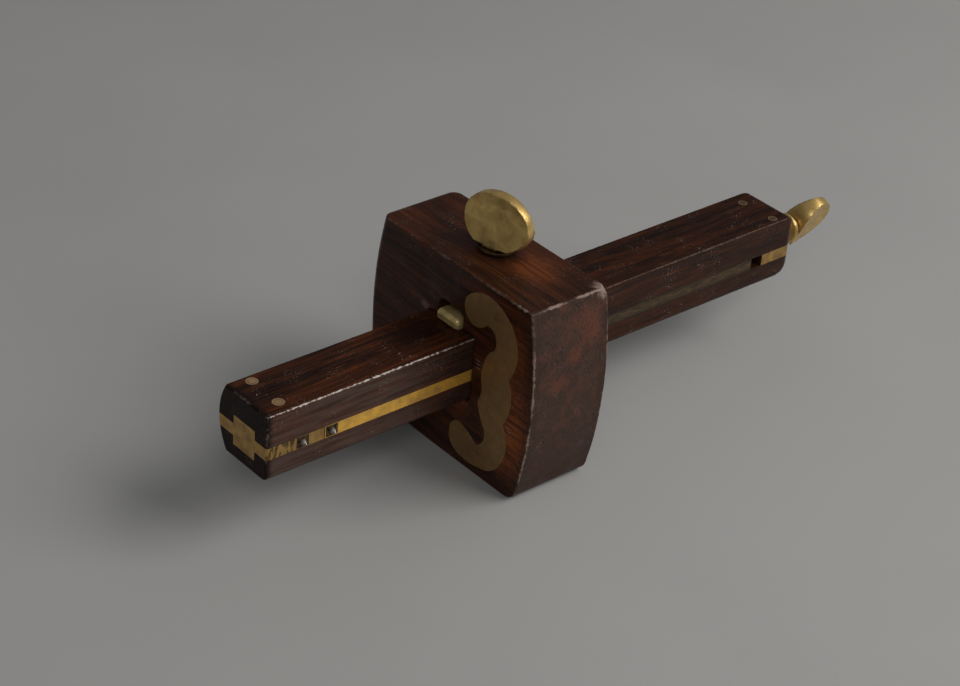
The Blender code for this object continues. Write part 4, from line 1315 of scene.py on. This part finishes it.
class GaugeColours(bpy.types.PropertyGroup):
    """Colours of the wood, the metals and the floor."""

    rosewood_dark: colour("Rosewood dark", "Dark lines of the fence", (0.016, 0.006, 0.004))
    rosewood_brown: colour("Rosewood brown", "Ground of the fence", (0.066, 0.019, 0.0075))
    rosewood_red: colour("Rosewood red", "Red figure of the fence", (0.150, 0.038, 0.011))
    rosewood_orange: colour("Rosewood orange", "Palest figure of the fence", (0.33, 0.085, 0.018))
    end_grain_grey: colour("End grain grey", "Handled end grain", (0.067, 0.038, 0.028))
    end_grain_red: colour("End grain red", "Red islands in the end grain", (0.150, 0.055, 0.034))
    stem_dark: colour("Stem dark", "Dark lines of the stem", (0.011, 0.006, 0.005))
    stem_brown: colour("Stem brown", "Ground of the stem", (0.058, 0.018, 0.0075))
    stem_red: colour("Stem red", "Red streaks of the stem", (0.150, 0.036, 0.010))
    # Painted sheen on the stem's spur side: the grey bench reflected.
    stem_sheen: colour("Stem haze", "Rubbed side of the stem", (0.105, 0.066, 0.054))
    worn_wood: colour("Worn wood", "Bare worn edges and scratches", (0.36, 0.27, 0.22))
    # Painted highlight on the stem's upper arris, towards the front end.
    arris_highlight: colour("Worn glint", "Brightest stretch of the stem's worn edge", (0.72, 0.64, 0.58))
    brass_bright: colour("Brass bright", "Handled thumb heads", (0.86, 0.60, 0.215))
    brass_pale: colour("Brass pale", "Rubbed shoe", (0.95, 0.74, 0.31))
    brass_gold: colour("Brass gold", "Rubbed strip", (1.0, 0.56, 0.085))
    brass_block: colour("Brass block", "Rubbed end blocks", (0.76, 0.47, 0.14))
    brass_olive: colour("Brass olive", "Dull thumb heads", (0.46, 0.29, 0.09))
    brass_brown: colour("Brass brown", "Dull blocks", (0.33, 0.20, 0.09))
    brass_dirt: colour("Brass dirt", "Old dirt on brass", (0.045, 0.032, 0.018))
    bronze: colour("Bronze", "Old surface of the slide", (0.135, 0.078, 0.038))
    plate_olive: colour("Plate olive", "Lighter plate", (0.42, 0.250, 0.108))
    plate_dark: colour("Plate dark", "Darker plate", (0.28, 0.170, 0.072))
    plate_stain: colour("Plate stain", "Stain round the pins", (0.28, 0.15, 0.07))
    rivet_pale: colour("Rivet pale", "Front rivets", (0.58, 0.36, 0.20))
    steel_dark: colour("Steel dark", "Blackened steel", (0.035, 0.032, 0.030))
    steel_brown: colour("Steel brown", "Rusted steel", (0.21, 0.13, 0.060))
    steel_bright: colour("Steel bright", "Filed points", (0.36, 0.33, 0.30))
    floor: colour("Floor", "The bench", (0.455, 0.45, 0.44))


class GAUGE_OT_stem(bpy.types.Operator):
    """Build both wooden halves of the stem"""

    bl_idname = "gauge.stem"
    bl_label = "Stem"

    def execute(self, context):
        stem_halves(context.scene.gauge_sizes)
        return {"FINISHED"}


class GAUGE_OT_fence(bpy.types.Operator):
    """Build the wooden fence"""

    bl_idname = "gauge.fence"
    bl_label = "Fence"

    def execute(self, context):
        fence(context.scene.gauge_sizes)
        return {"FINISHED"}


class GAUGE_OT_plate(bpy.types.Operator):
    """Build the scrolled plate and its pins"""

    bl_idname = "gauge.plate"
    bl_label = "Plate"

    def execute(self, context):
        plate(context.scene.gauge_sizes)
        return {"FINISHED"}


class GAUGE_OT_blocks(bpy.types.Operator):
    """Build the brass blocks, the slide and the rivets"""

    bl_idname = "gauge.blocks"
    bl_label = "Blocks and slide"

    def execute(self, context):
        brass_blocks(context.scene.gauge_sizes)
        rivets()
        return {"FINISHED"}


class GAUGE_OT_spurs(bpy.types.Operator):
    """Build the steel spurs and the swivel pin"""

    bl_idname = "gauge.spurs"
    bl_label = "Spurs"

    def execute(self, context):
        spurs()
        swivel_pin()
        return {"FINISHED"}


class GAUGE_OT_lock(bpy.types.Operator):
    """Build the lock screw, its bush and the shoe"""

    bl_idname = "gauge.lock"
    bl_label = "Lock"

    def execute(self, context):
        lock_screw(context.scene.gauge_sizes)
        lock_bush()
        shoe()
        return {"FINISHED"}


class GAUGE_OT_adjuster(bpy.types.Operator):
    """Build the adjusting screw"""

    bl_idname = "gauge.adjuster"
    bl_label = "Adjusting screw"

    def execute(self, context):
        adjust_screw(context.scene.gauge_sizes)
        return {"FINISHED"}


class GAUGE_OT_stage(bpy.types.Operator):
    """Build the floor, the lights and the camera"""

    bl_idname = "gauge.stage"
    bl_label = "Stage"

    def execute(self, context):
        stage(context.scene.gauge_sizes)
        return {"FINISHED"}


OPERATORS = (
    GAUGE_OT_stage, GAUGE_OT_stem, GAUGE_OT_fence, GAUGE_OT_plate, GAUGE_OT_blocks,
    GAUGE_OT_spurs, GAUGE_OT_lock, GAUGE_OT_adjuster,
)


class GAUGE_PT_panel(bpy.types.Panel):
    """The gauge's sizes, colours and pieces"""

    bl_idname = "GAUGE_PT_panel"
    bl_label = "Marking Gauge"
    bl_space_type = "VIEW_3D"
    bl_region_type = "UI"
    bl_category = "Gauge"

    def draw(self, context):
        for group in (context.scene.gauge_sizes, context.scene.gauge_colours):
            box = self.layout.box()
            for name in group.__annotations__:
                box.prop(group, name)
        for operator in OPERATORS:
            self.layout.operator(operator.bl_idname)


CLASSES = (GaugeSizes, GaugeColours, *OPERATORS, GAUGE_PT_panel)


def register():
    for cls in CLASSES:
        bpy.utils.register_class(cls)
    bpy.types.Scene.gauge_sizes = PointerProperty(type=GaugeSizes)
    bpy.types.Scene.gauge_colours = PointerProperty(type=GaugeColours)


def unregister():
    del bpy.types.Scene.gauge_colours
    del bpy.types.Scene.gauge_sizes
    for cls in reversed(CLASSES):
        bpy.utils.unregister_class(cls)


def main():
    register()
    for operator in OPERATORS:
        group, name = operator.bl_idname.split(".")
        getattr(getattr(bpy.ops, group), name)()
    boxes = {"cad": CAD_BOX, "visual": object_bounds()}
    {key: [list(corner) for corner in box] for key, box in boxes.items()}


if __name__ == "__main__":
    main()
